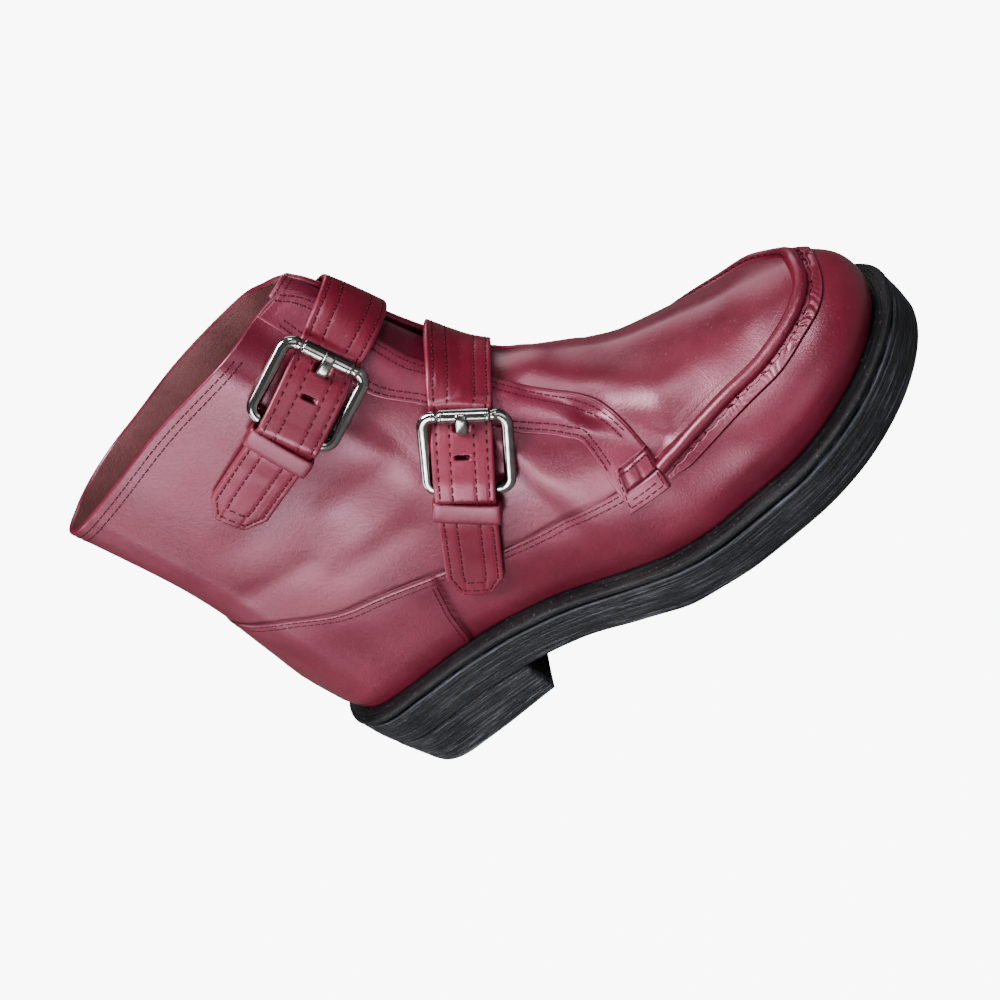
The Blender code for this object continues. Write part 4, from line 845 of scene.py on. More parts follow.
facing_t, facing_q = close_at_end(230, 0.012), close_spaced(30, 16.0)
facing_sheets, facing_marks, facings = [], {"edge": [], "crease": [], "painted_shade": []}, {}
for side, turn in SIDES:
    base = facing_panel(side, facing_t, facing_q)
    from_front, from_rear = reach_from(base, 1, False), reach_from(base, 1, True)
    nearest = np.minimum(from_front, np.minimum(from_rear, reach_from(base, 0, True) + 0.3))
    between_rows = 0.12 * np.exp(-((nearest - 3.2) / 1.6) ** 2)
    raised, normal = lay_on(base, FACING_LIFT - FACING_DROP * rounded(nearest, 0.7) - between_rows, turn)
    rim = turned_edge(raised[:, 0], normal[:, 0], raised[:, 0] - raised[:, 2], FACING_THICK, 6)
    facings[side] = (raised, normal, from_front, from_rear)
    facing_sheets.append(np.concatenate((np.transpose(rim, (1, 0, 2))[:, ::-1], raised), axis=1))
    pad = ((0, 0), (len(rim), 0))
    inked = 1.0 - ease(0.15, 0.6, np.minimum(from_front, from_rear))
    facing_marks["edge"].append(np.pad(inked, pad, constant_values=0.8))
    facing_marks["crease"].append(np.pad(np.full(base.shape[:2], 0.5), pad))
    # Painted shade: a dark line along the rear edge, where the band steps down onto the quarter.
    facing_marks["painted_shade"].append(np.pad(0.8 * (from_rear < 0.12), pad))
piece("facings", facing_sheets, calf_creased_painted_sheen, flips=(False, True), marks=facing_marks)

# ---------------------------------------------------------------- lining and insole
# Rose-brown lining leather is stitched inside the quarters along the topline and carried
# to the sole; a separate sock of the same leather lies on the insole board.
lining_leather = leather("lining_leather", (0.065, 0.018, 0.016), (0.13, 0.042, 0.036), (0.24, 0.12, 0.10),
                         grain=0.8, wrinkle=0.35, rough=(0.5, 0.68), coat=0.0, bump=0.0001)
FEATHER_LINE = ((-14, 36, 85, 120, 150, 188), (45.5, 45.5, 41.5, 34, 27, 24))
lining_a, lining_b = np.linspace(0.0, 1.0, 110), np.linspace(0.0, 1.0, 70)
lining_base = both_ways(lambda side: panel(FEATHER_LINE, TOPLINE, FRONT_EDGE, lining_a, lining_b, side))
lining_grid = lining_base + outward(lining_base, -1.0) * (folds(lining_base) - WALL - 0.05)[..., None]
foot_run = np.concatenate((np.linspace(166, 215, 40)[:-1], np.linspace(215, 295, 50)))
foot_sheets = [form(foot_run[:, None], np.linspace(-0.9, 1.0, 50)[None, :], side, inset=WALL + 0.5)
               for side, _ in SIDES]
piece("quarter_lining", [lining_grid], lining_leather)
piece("toe_lining", foot_sheets, lining_leather, flips=(True, False))

# The sock's section at its edge, as inset and height: up the side and over a bevel.
SOCK_INSET, SOCK_THICK, SOCK_BEVEL, SOCK_PRESS = FEATHER_INSET + WALL + 0.3, 3.3, 0.4, 0.8
SOCK_EDGE = ((0.0, 0.3), (0.0, SOCK_THICK - SOCK_BEVEL), (SOCK_BEVEL, SOCK_THICK))


def sock_side(inset, side):
    """One side of the sock's outline."""
    return sole_outline(SOCK_INSET + inset, side, SOLE_RUN)


def sock_line(x, y, height):
    """A line of points along the sock, at a height above the sole's top."""
    return np.stack([x, y, sole_top(x) + height], -1)


sock_rows = [sock_line(*sock_side(inset, "lateral"), height) for inset, height in SOCK_EDGE]
x, y1 = sock_side(SOCK_BEVEL, "lateral")
y2 = sock_side(SOCK_BEVEL, "medial")[1]
for u in np.linspace(0.0, 1.0, 26)[1:-1]:
    press = SOCK_PRESS * np.sin(np.pi * u) * ease(10, 40, x) * (1 - ease(60, 90, x))
    sock_rows.append(sock_line(x, y1 + (y2 - y1) * u, SOCK_THICK - press))
sock_rows += [sock_line(*sock_side(inset, "medial"), height) for inset, height in SOCK_EDGE[::-1]]
piece("sock", [np.stack(sock_rows, 1)], lining_leather, "insole", (False, True), turn_out=True)

# ---------------------------------------------------------------- tongue
# The tongue carries on from the vamp below the front strap. It is calf backed with lining
# leather, sewn round its top edge, and lies a little inside the facings.
TONGUE_HALF = ((0.0, 0.3, 0.55, 1.0), (14.0, 16.8, 21.0, 19.0))
TONGUE_DEPTH, TONGUE_THICK, TONGUE_TOP, TONGUE_FRONT = 2.8, 1.95, 184.0, 183.0
EDGE_SHARES = np.array((0.0, 0.006, 0.016, 0.034))
tongue_v = np.concatenate((0.018 * np.array((0.0, 0.15, 0.35, 0.6)), np.linspace(0.018, 0.8, 76)))
tongue_u = np.concatenate((-1.0 + EDGE_SHARES, np.linspace(-0.95, 0.95, 37), 1.0 - EDGE_SHARES[::-1]))
tongue_y = tongue_u[None, :] * smooth(*TONGUE_HALF, tongue_v)[:, None]
# The top edge is where the form, drawn in by the tongue's depth, reaches the tongue's height.
x_try = np.linspace(136.0, 165.0, 900)[:, None]
off_top = np.abs(top_z(x_try, tongue_y.reshape(1, -1), TONGUE_DEPTH) - TONGUE_TOP)
highest = x_try[np.argmin(off_top, axis=0), 0].reshape(tongue_y.shape)
tongue_x = highest + (TONGUE_FRONT - highest) * (0.35 * tongue_v + 0.65 * tongue_v ** 2)[:, None]
tongue_base = np.stack([tongue_x, tongue_y, top_z(tongue_x, tongue_y, TONGUE_DEPTH)], -1)
tongue_normal = outward(tongue_base, 1.0)
tongue_edges = [reach_from(tongue_base, axis, end) for axis, end in ((0, False), (1, False), (1, True))]
near_edge = np.minimum(tongue_edges[0], np.minimum(*tongue_edges[1:]))
curl, thinned = 0.9 * np.abs(tongue_u[None, :]) ** 3, 0.9 * rounded(near_edge, 0.9)
face_lift = -curl - thinned + 0.12 * np.sin(tongue_x / 3.1 + tongue_y / 4.0)
tongue_front = tongue_base + tongue_normal * face_lift[..., None]
tongue_back = tongue_base + tongue_normal * (-TONGUE_THICK - curl + thinned)[..., None]
piece("tongue_face", [tongue_front], calf_creased_painted_sheen, "tongue", marks={
    "edge": [1.0 - ease(0.1, 0.8, near_edge)], "crease": [np.full(near_edge.shape, 0.3)]})
piece("tongue_back", [tongue_back], lining_leather, flips=(True,))

# ---------------------------------------------------------------- moccasin ridge
# The apron and the wall meet in a raised hand-sewn seam: the apron's edge is turned over a
# cord as a smooth tube, and the wall's edge lies flat outside it as a narrow strip that
# is gathered into pleats round the toe. Thick thread draws the groove between them tight.
def length_along(points):
    """Distance along a line of points, from its start."""
    return np.concatenate(([0.0], np.cumsum(np.linalg.norm(np.diff(points, axis=0), axis=1))))


RIDGE_START = RIDGE_FROM - 2.0  # tucked under the tabs
ridge_turn = np.linspace(0.0, 1.0, 700)
ridge_x = RIDGE_START + (RIDGE_TO - RIDGE_START) * np.sin(ridge_turn * np.pi / 2.0) ** 0.9
near_line = np.stack([ridge_x, RIDGE_MIDDLE - ridge_half(ridge_x)], -1)
far_line = np.stack([ridge_x, RIDGE_MIDDLE + ridge_half(ridge_x) - medial_in(ridge_x)], -1)
ridge_line = np.concatenate((near_line, far_line[::-1][1:]))
ridge_run = length_along(ridge_line)
RIDGE_LENGTH = ridge_run[-1]
ridge_s = np.linspace(0.0, RIDGE_LENGTH, 560)
ridge_plan = np.stack([np.interp(ridge_s, ridge_run, ridge_line[:, k]) for k in (0, 1)], -1)
ridge_ahead = np.gradient(ridge_plan, axis=0)
ridge_ahead /= np.linalg.norm(ridge_ahead, axis=1)[:, None]
ridge_out = np.stack([ridge_ahead[:, 1], -ridge_ahead[:, 0]], -1)
ridge_z = top_z(ridge_plan[:, 0], ridge_plan[:, 1])


def ridge_point(offset):
    """Form points beside the ridge line, offset mm outward along the surface."""
    plan = ridge_plan[:, None, :] + ridge_out[:, None, :] * offset[..., None]
    for _ in range(7):
        z = top_z(plan[..., 0], plan[..., 1])
        reach = np.sqrt(np.sum((plan - ridge_plan[:, None, :]) ** 2, axis=-1) + (z - ridge_z[:, None]) ** 2)
        scale = np.abs(offset) / np.maximum(reach, 1e-6)
        plan = ridge_plan[:, None, :] + (plan - ridge_plan[:, None, :]) * np.clip(scale, 0.3, 3.0)[..., None]
    return np.stack([plan[..., 0], plan[..., 1], top_z(plan[..., 0], plan[..., 1])], -1)


# Across the seam, in mm outward from its line: apron, cord, groove, pleated strip, wall.
ridge_a = np.concatenate((np.linspace(-8.5, -5.2, 6), np.linspace(-4.9, -3.4, 7), np.linspace(-3.2, 3.0, 25),
                          np.linspace(3.15, 5.2, 15), np.linspace(5.5, 7.6, 7),
                          np.array((7.8, 7.95, 8.1, 8.2, 8.3, 8.6))))
RIDGE_STITCH, PIPE, PIPE_AT = 5.2, 2.7, 0.4
INNER_GROOVE, OUTER_STEP = -3.0, 8.3
a, s_run = ridge_a[None, :], ridge_s[:, None]
toeward = np.exp(-((s_run - RIDGE_LENGTH / 2.0) / (0.27 * RIDGE_LENGTH)) ** 4)
inner_side = ease(0.42, 0.60, s_run / RIDGE_LENGTH)
under_tab = 1.0 - ease(0.0, 9.0, np.minimum(s_run, RIDGE_LENGTH - s_run))
# Each stitch draws the groove toward the cord, and swells the cord between two stitches.
drawn_in = np.abs(np.sin(s_run * np.pi / RIDGE_STITCH)) ** 0.7
groove_at = 3.35 + 0.75 * drawn_in
tube_bulge = PIPE * np.sqrt(np.clip(1.0 - ((a - PIPE_AT) / PIPE) ** 2, 0.0, 1.0))
tube_bulge = tube_bulge + 0.14 * drawn_in * np.exp(-((a - 2.2) / 1.0) ** 2)
# Pleats: uneven waves along the strip, deepest round the toe, fading toward both edges.
pleat_phase = (s_run / 2.9 + 0.75 * np.sin(s_run / 6.1) + 0.5 * np.sin(s_run / 2.7 + 1.0)
               + 0.35 * np.sin(a * 0.9 + s_run / 4.0))
pleats = (np.abs(np.sin(np.pi * pleat_phase)) ** 0.8 - 0.62) * (0.10 + 0.36 * toeward)
pleats = pleats * (0.7 + 0.5 * np.sin(s_run / 2.3 + 2.0 * np.sin(s_run / 9.0)))
pleats = pleats * ease(groove_at, groove_at + 1.2, a) * (1.0 - 0.6 * ease(5.5, 8.0, a))
strip = (1.05 + 0.12 * np.sin(s_run / 5.0)) * ease(groove_at - 0.1, groove_at + 0.8, a)
strip = strip * (1.0 - ease(7.75, 8.35, a))
footing = 0.06 * ease(-8.5, -6.5, a) - 0.03 - (0.3 + 0.8 * inner_side) * np.exp(-((a - INNER_GROOVE) / 0.8) ** 2)
outer_groove = -0.9 * np.exp(-((a - groove_at) / 0.42) ** 2) - 0.4 * (a > 8.4)
wavy = 0.3 * np.sin(s_run / 3.7) * ease(6.0, 8.0, a) * toeward
ridge_form = ridge_point(a + wavy - 0.5 * under_tab * np.maximum(a - 4.0, 0.0))
ridge_lift = (apron_lift(ridge_form[..., 0], ridge_form[..., 1]) * ease(-1.0, -3.9, a) + footing + tube_bulge
              + outer_groove + strip + pleats * (a < 8.1))
ridge_grid, ridge_normal = lay_on(ridge_form, ridge_lift, -1.0)
# Painted shade in the groove outside the cord, in the groove inside it on the far side, and at the step down to the
# wall.
ridge_painted_shade = (0.95 * np.exp(-((a - groove_at) / 0.38) ** 2)
               + 0.5 * inner_side * np.exp(-((a - INNER_GROOVE) / 0.45) ** 2)
               + 0.95 * np.exp(-((a - OUTER_STEP) / 0.3) ** 2))
# Paler at the strip's cut edge, which is worn, and on the pleats' crests, as painted highlight.
ridge_edge_and_crest_highlight = 0.3 * (1.0 - ease(0.0, 0.5, np.abs(a - 7.6))) + 0.2 * np.clip(pleats, 0, 1) * (a > 4.8)
piece("moccasin_seam", [ridge_grid], calf_smooth, "moccasin_ridge", flips=(True,), marks={
    "painted_shade": [np.clip(ridge_painted_shade, 0, 1)], "edge": [ridge_edge_and_crest_highlight], "crease": [0.5 * toeward * (a > 4.5)]})

# ---------------------------------------------------------------- tabs
# A square tab of creased calf closes each facing over the start of the ridge. It is sewn
# on all round, and a short folded bar of leather is threaded through two slits in it.
# Corners, low then top, of its rear edge and of its front edge.
TAB_X, TAB_Z = ((168.6, 176.3), (187.4, 190.4)), ((47.6, 63.6), (46.6, 61.6))
tab_p, tab_q = close_spaced(26, 15.0), close_spaced(26, 17.0)


def tab_frame(side):
    """The tab's grid on the flank: p up from its lower edge, q forward from its rear edge."""
    p, q = tab_p[:, None], tab_q[None, :]
    x, z = ((1 - p) * ((1 - q) * low_rear + q * low_front) + p * ((1 - q) * top_rear + q * top_front)
            for (low_rear, top_rear), (low_front, top_front) in (TAB_X, TAB_Z))
    return flank(x, z, side)


TAB_LIFT = 1.9
tab_sheets, tab_marks, tabs = [], {"edge": [], "painted_shade": [], "crease": []}, {}
for side, turn in SIDES:
    base = tab_frame(side)
    edges = [reach_from(base, axis, end) for axis in (0, 1) for end in (False, True)]
    nearest = np.minimum(np.minimum(edges[0], edges[1]), np.minimum(edges[2], edges[3]))
    p, q = np.meshgrid(tab_p, tab_q, indexing="ij")
    bar = ease(0.50, 0.58, p) * ease(0.96, 0.88, p) * ease(0.20, 0.28, q) * ease(0.62, 0.55, q)
    band = ease(0.61, 0.65, q) * ease(0.96, 0.92, q) * ease(0.49, 0.53, p) * ease(0.97, 0.93, p)
    slits = (np.exp(-((p - 0.485) / 0.024) ** 2) + np.exp(-((p - 0.955) / 0.024) ** 2)) * ease(0.13, 0.18, q)
    slits = slits + 0.8 * np.exp(-((q - 0.19) / 0.025) ** 2) * ease(0.47, 0.53, p) * ease(0.98, 0.92, p)
    threaded = bar * (1.0 - 0.5 * ((q - 0.4) / 0.2) ** 2) + 0.5 * band - 0.9 * slits
    raised, normal = lay_on(base, TAB_LIFT - TAB_LIFT * rounded(nearest, 0.75) + threaded, -turn)
    tabs[side] = (raised, normal)
    tab_sheets.append(raised)
    tab_marks["edge"].append(1.0 - ease(0.15, 0.6, nearest))
    # Painted shade inside the slits.
    tab_marks["painted_shade"].append(np.clip(slits, 0, 1) * 0.95)
    tab_marks["crease"].append(np.full(p.shape, 0.3))
piece("facing_tabs", tab_sheets, calf_creased_painted_sheen, ("tab_lateral", "tab_medial"), flips=(True, False), marks=tab_marks)

# ---------------------------------------------------------------- straps
# Two straps of doubled calf run from the inner side over the instep, under the buckle's
# roller, over its heel bar, through the keeper and down the outer side to a pointed tail.
# Each is stitched with four rows and has slots punched for the prong.
STRAP_THICKNESS, CHAPE_THICKNESS, KEEPER_THICKNESS = 2.2, 0.9, 1.0
ROD, ROLLER_OUT, ROLLER_HALF, FRAME_HALF, FRAME_CORNER, PRONG_HALF = 1.7, 2.5, 9.0, 14.6, 4.0, 1.9
STRAPS_HALF, WIDE_HALF, TAPER, TIP_HALF = 10.8, 11.9, 8.0, 6.0
ROW_INSETS, ROW_END, SIDE_ROUND = (2.1, 6.6), 2.2, 0.75  # stitch rows from the side and the tip
LIFT, UNDER_ROLLER, OVER_THROAT, CHAPE_END = 0.35, 1.5, 0.8, 24.0
BAR_H = 0.95 + CHAPE_THICKNESS + 0.25 + ROD
OVER_BAR = BAR_H + ROD + 0.25 + CHAPE_THICKNESS + 0.25
ROLLER_H = UNDER_ROLLER + STRAP_THICKNESS + 0.35 + ROLLER_OUT
KEEPER_LOW = 0.8 + CHAPE_THICKNESS + 0.3
IN_KEEPER = KEEPER_LOW + KEEPER_THICKNESS + 0.4
# A strap's plane: direction and offset. Lengths along it: where its inner end, roller, bar,
# keeper and tip are. aside moves the buckle across it.
STRAPS = {
    "front": dict(direction=(0.722, -0.692), offset=31.5, half=12.3, far=(84.0, 104.0), end=-74.0, roller=29.6,
                  bar=56.1, keeper=(60.9, 68.4), tip=106.0, aside=1.5),
    "rear": dict(direction=(0.174, -0.985), offset=-132.0, half=12.0, far=(54.0, 76.0), end=-64.0, roller=26.0,
                 bar=52.5, keeper=(57.4, 64.9), tip=100.5, aside=-0.5),
}


def stretched(flat):
    """The taut path over a row of 2-D points: its convex side, ends kept."""
    path = []
    for point in flat:
        while len(path) > 1:
            u, v = path[-1] - path[-2], point - path[-1]
            if u[0] * v[1] - u[1] * v[0] < 0.0:
                break
            path.pop()
        path.append(point)
    return np.array(path)


def ground_line(direction, offset, far_lateral, far_medial):
    """The taut path of one plane round the form, and lengths along it from the crest."""
    nx, nz = direction
    x = np.linspace(120.0, 200.0, 4001)
    crest_x = float(x[np.argmin(np.abs(crest_z(x) - (offset - nx * x) / nz))])
    flat = []
    for side, far in (("medial", far_medial), ("lateral", far_lateral)):
        run = np.linspace(0.0, 1.0, 260) ** 2 * (crest_x - far)
        x_run = crest_x - run
        z_run = (offset - nx * x_run) / nz
        y_run = (-1.0 if side == "lateral" else 1.0) * np.where(run > 0, wall_y(x_run, z_run, side), 0.0)
        half = np.stack([-y_run, x_run * -nz + z_run * nx], -1)
        flat.append(half[::-1] if side == "medial" else half[1:])
    path = stretched(np.concatenate(flat))
    length = length_along(path)
    return path, length - float(np.interp(0.0, path[:, 0], length))


GROUND_LINES, GROUND_STEP = 7, 1.5  # lines across a strap's ground, and mm between its points


def strap_ground(strap):
    """A look-up over the form under one strap: s along it, w across, h outward, in mm.
    Lines of ground_line side by side, squared to one another at the heel bar."""
    nx, nz = strap["direction"]
    across = np.linspace(-strap["half"], strap["half"], GROUND_LINES)
    paths = [ground_line(strap["direction"], strap["offset"] + w, *strap["far"]) for w in across]
    flat, length = paths[GROUND_LINES // 2]
    spots = [np.array([np.interp(strap[key], length, flat[:, k]) for k in (0, 1)]) for key in ("bar", "roller")]
    squared = []
    for flat, length in paths:
        past, beyond = (flat - spots[0]) @ (spots[0] - spots[1]), length > 20.0
        squared.append((flat, length - float(np.interp(0.0, past[beyond], length[beyond])) + strap["bar"]))
    s = np.arange(max(line[1][0] for line in squared), min(line[1][-1] for line in squared), GROUND_STEP)
    rows = []
    for w, (flat, length) in zip(across, squared):
        rise = np.interp(s, length, flat[:, 1])
        rows.append(np.stack([(strap["offset"] + w) * nx - nz * rise, -np.interp(s, length, flat[:, 0]),
                              (strap["offset"] + w) * nz + nx * rise], -1))
    points = np.array(rows)
    normals = np.cross(np.gradient(points, axis=1), np.gradient(points, axis=0))
    normals /= np.linalg.norm(normals, axis=-1)[..., None]

    def at(s_at, w_at, h_at=0.0):
        """The point at these lengths: linear between the four nearest of the table."""
        s_at, w_at, h_at = np.broadcast_arrays(*(np.asarray(v, float) for v in (s_at, w_at, h_at)))
        i = np.clip((s_at - s[0]) / GROUND_STEP, 0, len(s) - 1.001)
        j = np.clip((w_at - across[0]) / (across[1] - across[0]), -0.4, GROUND_LINES - 0.6)
        i0, j0 = i.astype(int), np.clip(j.astype(int), 0, GROUND_LINES - 2)
        fi, fj = (i - i0)[..., None], (j - j0)[..., None]

        def mix(table):
            """The table's value at the place asked for."""
            near = table[j0, i0] * (1 - fi) + table[j0, i0 + 1] * fi
            far = table[j0 + 1, i0] * (1 - fi) + table[j0 + 1, i0 + 1] * fi
            return near * (1 - fj) + far * fj

        return mix(points) + mix(normals) * h_at[..., None]

    return at


def buckle_axes(at, strap):
    """Origin on the heel bar, u to the roller, v outward, w across, and their distance."""
    bar, roller = at(strap["bar"], 0.0, BAR_H), at(strap["roller"], 0.0, ROLLER_H)
    u = (roller - bar) / np.linalg.norm(roller - bar)
    s, w = np.linspace(strap["roller"], strap["bar"], 9)[:, None], np.linspace(-10.0, 10.0, 5)
    v = (at(s, w, 1.0) - at(s, w, 0.0)).mean(axis=(0, 1))
    v -= u * np.dot(u, v)
    v /= np.linalg.norm(v)
    return bar, u, v, np.cross(u, v), float(np.linalg.norm(roller - bar))


def in_axes(axes, points):
    """Points given along a buckle's u, v and w, as points of the boot."""
    points = np.asarray(points, float)
    return axes[0] + points[..., 0:1] * axes[1] + points[..., 1:2] * axes[2] + points[..., 2:3] * axes[3]


def strap_point(at, strap, axes, s, w, lift):
    """A point of the strap, lift above its underside: on the form, and beside the buckle on
    the flat plane of the buckle, eased from one to the other."""
    s, w, lift = np.broadcast_arrays(*(np.asarray(v, float) for v in (s, w, lift)))
    roller, bar, (keep_from, keep_to), tip = strap["roller"], strap["bar"], strap["keeper"], strap["tip"]
    base = smooth((strap["end"], -48, -32, roller - 12, roller + 1, bar - 2, bar + 1.5, keep_from, keep_to,
                   bar + CHAPE_END - 2, bar + CHAPE_END + 2, bar + CHAPE_END + 10, tip),
                  (LIFT, LIFT, OVER_THROAT, OVER_THROAT, UNDER_ROLLER, OVER_BAR, OVER_BAR, IN_KEEPER, IN_KEEPER,
                   2.3, 2.0, 1.3, 0.6), s)
    low, high = -ROLLER_OUT - 0.35 - STRAP_THICKNESS, ROD + 0.5 + CHAPE_THICKNESS
    level = smooth((-0.2, 0.05, 0.18, 0.3, 0.45, 0.65, 0.9, 1.1), (low, low, -3.5, -1.7, 0.1, 1.6, high, high),
                   (s - roller) / (bar - roller))
    stiff = in_axes(axes, np.stack([(bar - s) * axes[4] / (bar - roller), level + lift, w], -1))
    share = ease(0.0, 4.2, np.maximum(roller - 1.5 - s, s - bar - 1.0))[..., None]
    return stiff * (1.0 - share) + at(s, w, base + lift) * share


def strap_width(strap, s):
    """Half the strap's width: narrowing to the roller, and in straight lines to the tip."""
    half = WIDE_HALF + (STRAPS_HALF - WIDE_HALF) * np.clip(s / strap["roller"], 0.0, 1.0)
    return half + (TIP_HALF - half) * np.clip((s - strap["tip"] + TAPER) / TAPER, 0.0, 1.0)


def oval(half, thickness, count):
    """A strap's section: flat faces, sides rounded as quarter circles."""
    turn = np.linspace(0.0, np.pi / 2.0, 5)
    side_w = half - SIDE_ROUND + SIDE_ROUND * np.sin(turn)
    side_h = thickness - SIDE_ROUND + SIDE_ROUND * np.cos(turn)
    flat_w = np.linspace(-1.0, 1.0, count)[1:-1] * (half - SIDE_ROUND)
    w = np.concatenate((-side_w[::-1], flat_w, side_w, side_w[::-1], flat_w[::-1], -side_w))
    h = np.concatenate((side_h[::-1], np.full(count - 2, thickness), side_h,
                        thickness - side_h[::-1], np.zeros(count - 2), thickness - side_h))
    return w, h


def row_stop(strap, inset):
    """Where a stitch row ends before the tip."""
    return strap["tip"] - ROW_END - 0.66 * (inset - ROW_INSETS[0]) * 1.4


def row_half(strap, s, inset):
    """Distance of a stitch row from the strap's middle; it turns in toward the point."""
    start, stop = strap["tip"] - TAPER - 0.3 * inset, row_stop(strap, inset)
    straight = strap_width(strap, np.minimum(s, start)) - inset
    end_half = max(TIP_HALF - 0.35 * inset, 1.3)
    return straight + (end_half - straight) * np.clip((s - start) / (stop - start), 0.0, 1.0)


def strap_crown(strap, s, w):
    """Rise of a strap's face: padded along the middle, drawn down under the four rows."""
    crown = 0.22 * (1.0 - (w / strap_width(strap, s)) ** 2)
    for inset in ROW_INSETS:
        crown = crown - 0.16 * np.exp(-((np.abs(w) - row_half(strap, s, inset)) / 0.6) ** 2)
    return crown


def in_slot(s, w, length, half):
    """1 inside a slot of these half sizes, 0 outside, with a steep round rim."""
    return np.exp(-(s / length) ** 6) * np.exp(-(w / half) ** 8)


# Two slots, one under the prong and one free: half sizes pressed in, and half length painted dark as the shade in
# the hole.
SLOTS, SLOT_DEEP, SLOT_SHADE_HALF = ((1.5, 2.7, 1.3), (0.8, 2.4, 0.9)), 1.8, 2.4
strap_axes, strap_grounds, strap_seams = {}, {}, []
calf_strap = leather("burgundy_calf_strap", (0.084, 0.0016, 0.0095), (0.145, 0.0032, 0.0175), WORN)
for which, strap in STRAPS.items():
    at = strap_grounds[which] = strap_ground(strap)
    axes = strap_axes[which] = buckle_axes(at, strap)
    tip, slots = strap["tip"], (strap["roller"] + 4.6, (strap["roller"] + strap["bar"]) / 2.0 + 0.5)
    lengths = np.unique(np.concatenate(
        [np.arange(strap["end"], tip - TAPER, 0.85), np.linspace(tip - TAPER, tip, 18)]
        + [slot + np.linspace(-2.1, 2.1, 21) for slot in slots]))
    rings, edges, strap_painted_shade = [], [], []
    for s in lengths:
        half = float(strap_width(strap, s))
        w, h = oval(half, STRAP_THICKNESS, 38)
        top = h > STRAP_THICKNESS - 0.01
        pressed = sum(in_slot(s - slot, w, *size[:2]) for slot, size in zip(slots, SLOTS))
        crown = strap_crown(strap, s, w) - SLOT_DEEP * pressed
        rings.append(strap_point(at, strap, axes, s, w, h + np.where(top, crown, 0.0)))
        in_height = np.clip(1.0 - np.abs(h - STRAP_THICKNESS * 0.72) / (STRAP_THICKNESS * 0.35), 0.0, 1.0)
        corner = 0.7 * (np.abs(w) > half - 0.45) * (h > 1.2)
        edges.append(0.55 * np.maximum(in_height * (np.abs(w) > half - SIDE_ROUND), corner))
        # Painted shade: the slots' insides and the strap's underside are painted dark.
        hole = sum(in_slot(s - slot, w, size[2], SLOT_SHADE_HALF) for slot, size in zip(slots, SLOTS))
        strap_painted_shade.append(np.clip(hole * top + 0.85 * (h < 0.5), 0.0, 1.0))
    for end in (0, -1):
        middle = rings[end].mean(axis=0)
        cap = [middle + (rings[end] - middle) * share for share in (0.985, 0.9, 0.5, 0.0)]
        cap_edges = [edges[end]] * 2 + [np.full(len(edges[end]), 0.4)] * 2
        if end == 0:
            rings, edges, strap_painted_shade = cap[::-1] + rings, cap_edges[::-1] + edges, strap_painted_shade[:1] * 4 + strap_painted_shade
        else:
            rings, edges, strap_painted_shade = rings + cap, edges + cap_edges, strap_painted_shade + strap_painted_shade[-1:] * 4
    piece("strap_" + which + "_calf", [np.array(rings)], calf_strap, "strap_" + which, around=(False, True),
          marks={"edge": [np.array(edges)], "painted_shade": [np.array(strap_painted_shade)], "crease": [np.full(np.shape(edges), 0.1)]},
          turn_out=True)
    # stitch lines in s and w: outer rows round the point, inner rows closed across it
    for inset in ROW_INSETS:
        stop = row_stop(strap, inset)
        s_line = np.append(np.arange(strap["end"] + 1.5, stop, 0.8), stop)
        w_line = row_half(strap, s_line, inset)
        closing = np.linspace(-w_line[-1] + 0.2, w_line[-1] - 0.2, 7)
        for line in ((s_line, -w_line), (s_line, w_line), (np.full(7, stop), closing)):
            strap_seams.append((at, strap, axes, *line))

# ---------------------------------------------------------------- keepers and chapes
# A plain leather loop, inked pale along its edges, holds each tail down beside the
# buckle. The chape, a thin strip, is sewn down under the tail and turned round the bar.
KEEPER_SKEW, KEEPER_BOW = 1.2, 0.35
# The loop's own section, as shares of its width and of its thickness outward.
KEEPER_PROFILE = ((0.0, 0.12), (0.0, 0.8), (0.06, 1.0), (0.25, 1.1), (0.5, 1.15), (0.75, 1.1),
                  (0.94, 1.0), (1.0, 0.8), (1.0, 0.12), (0.88, 0.0), (0.12, 0.0))
keeper_half, keeper_top = STRAPS_HALF + 0.45, IN_KEEPER + STRAP_THICKNESS + 0.5
keeper_middle = (KEEPER_LOW + KEEPER_THICKNESS + keeper_top) / 2.0
keeper_tall = (keeper_top - KEEPER_LOW - KEEPER_THICKNESS) / 2.0
keeper_turn = np.linspace(0.0, 2.0 * np.pi, 97)[:-1]
box_w, box_h = (np.sign(v) * np.abs(v) ** power
                for v, power in ((np.cos(keeper_turn), 0.16), (np.sin(keeper_turn), 0.30)))
for which, strap in STRAPS.items():
    s0, s1 = strap["keeper"]
    rows, inked = [], []
    for share, out in KEEPER_PROFILE:
        w = (keeper_half + out * KEEPER_THICKNESS) * box_w
        h = keeper_middle + (keeper_tall + out * KEEPER_THICKNESS * 0.95) * box_h
        bow = KEEPER_BOW * np.sin(np.pi * (w / keeper_half + 1) / 2.0) + KEEPER_SKEW * w / keeper_half
        rows.append(strap_grounds[which](s0 + (s1 - s0) * share + bow, w, np.maximum(h, 0.5)))
        inked.append(np.full(len(w), 0.4 if share in (0.0, 1.0) and out < 1.0 else 0.0))
    piece("keeper_" + which + "_loop", [np.array(rows)], calf_smooth, "keeper_" + which, around=(True, True),
          turn_out=True, marks={"edge": [np.array(inked)]})
chape_calf = leather("burgundy_calf_chape", DEEP, MAIN, WORN)
for which in STRAPS:
    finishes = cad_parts["chape_" + which].data.materials
    finishes.clear()
    finishes.append(chape_calf)

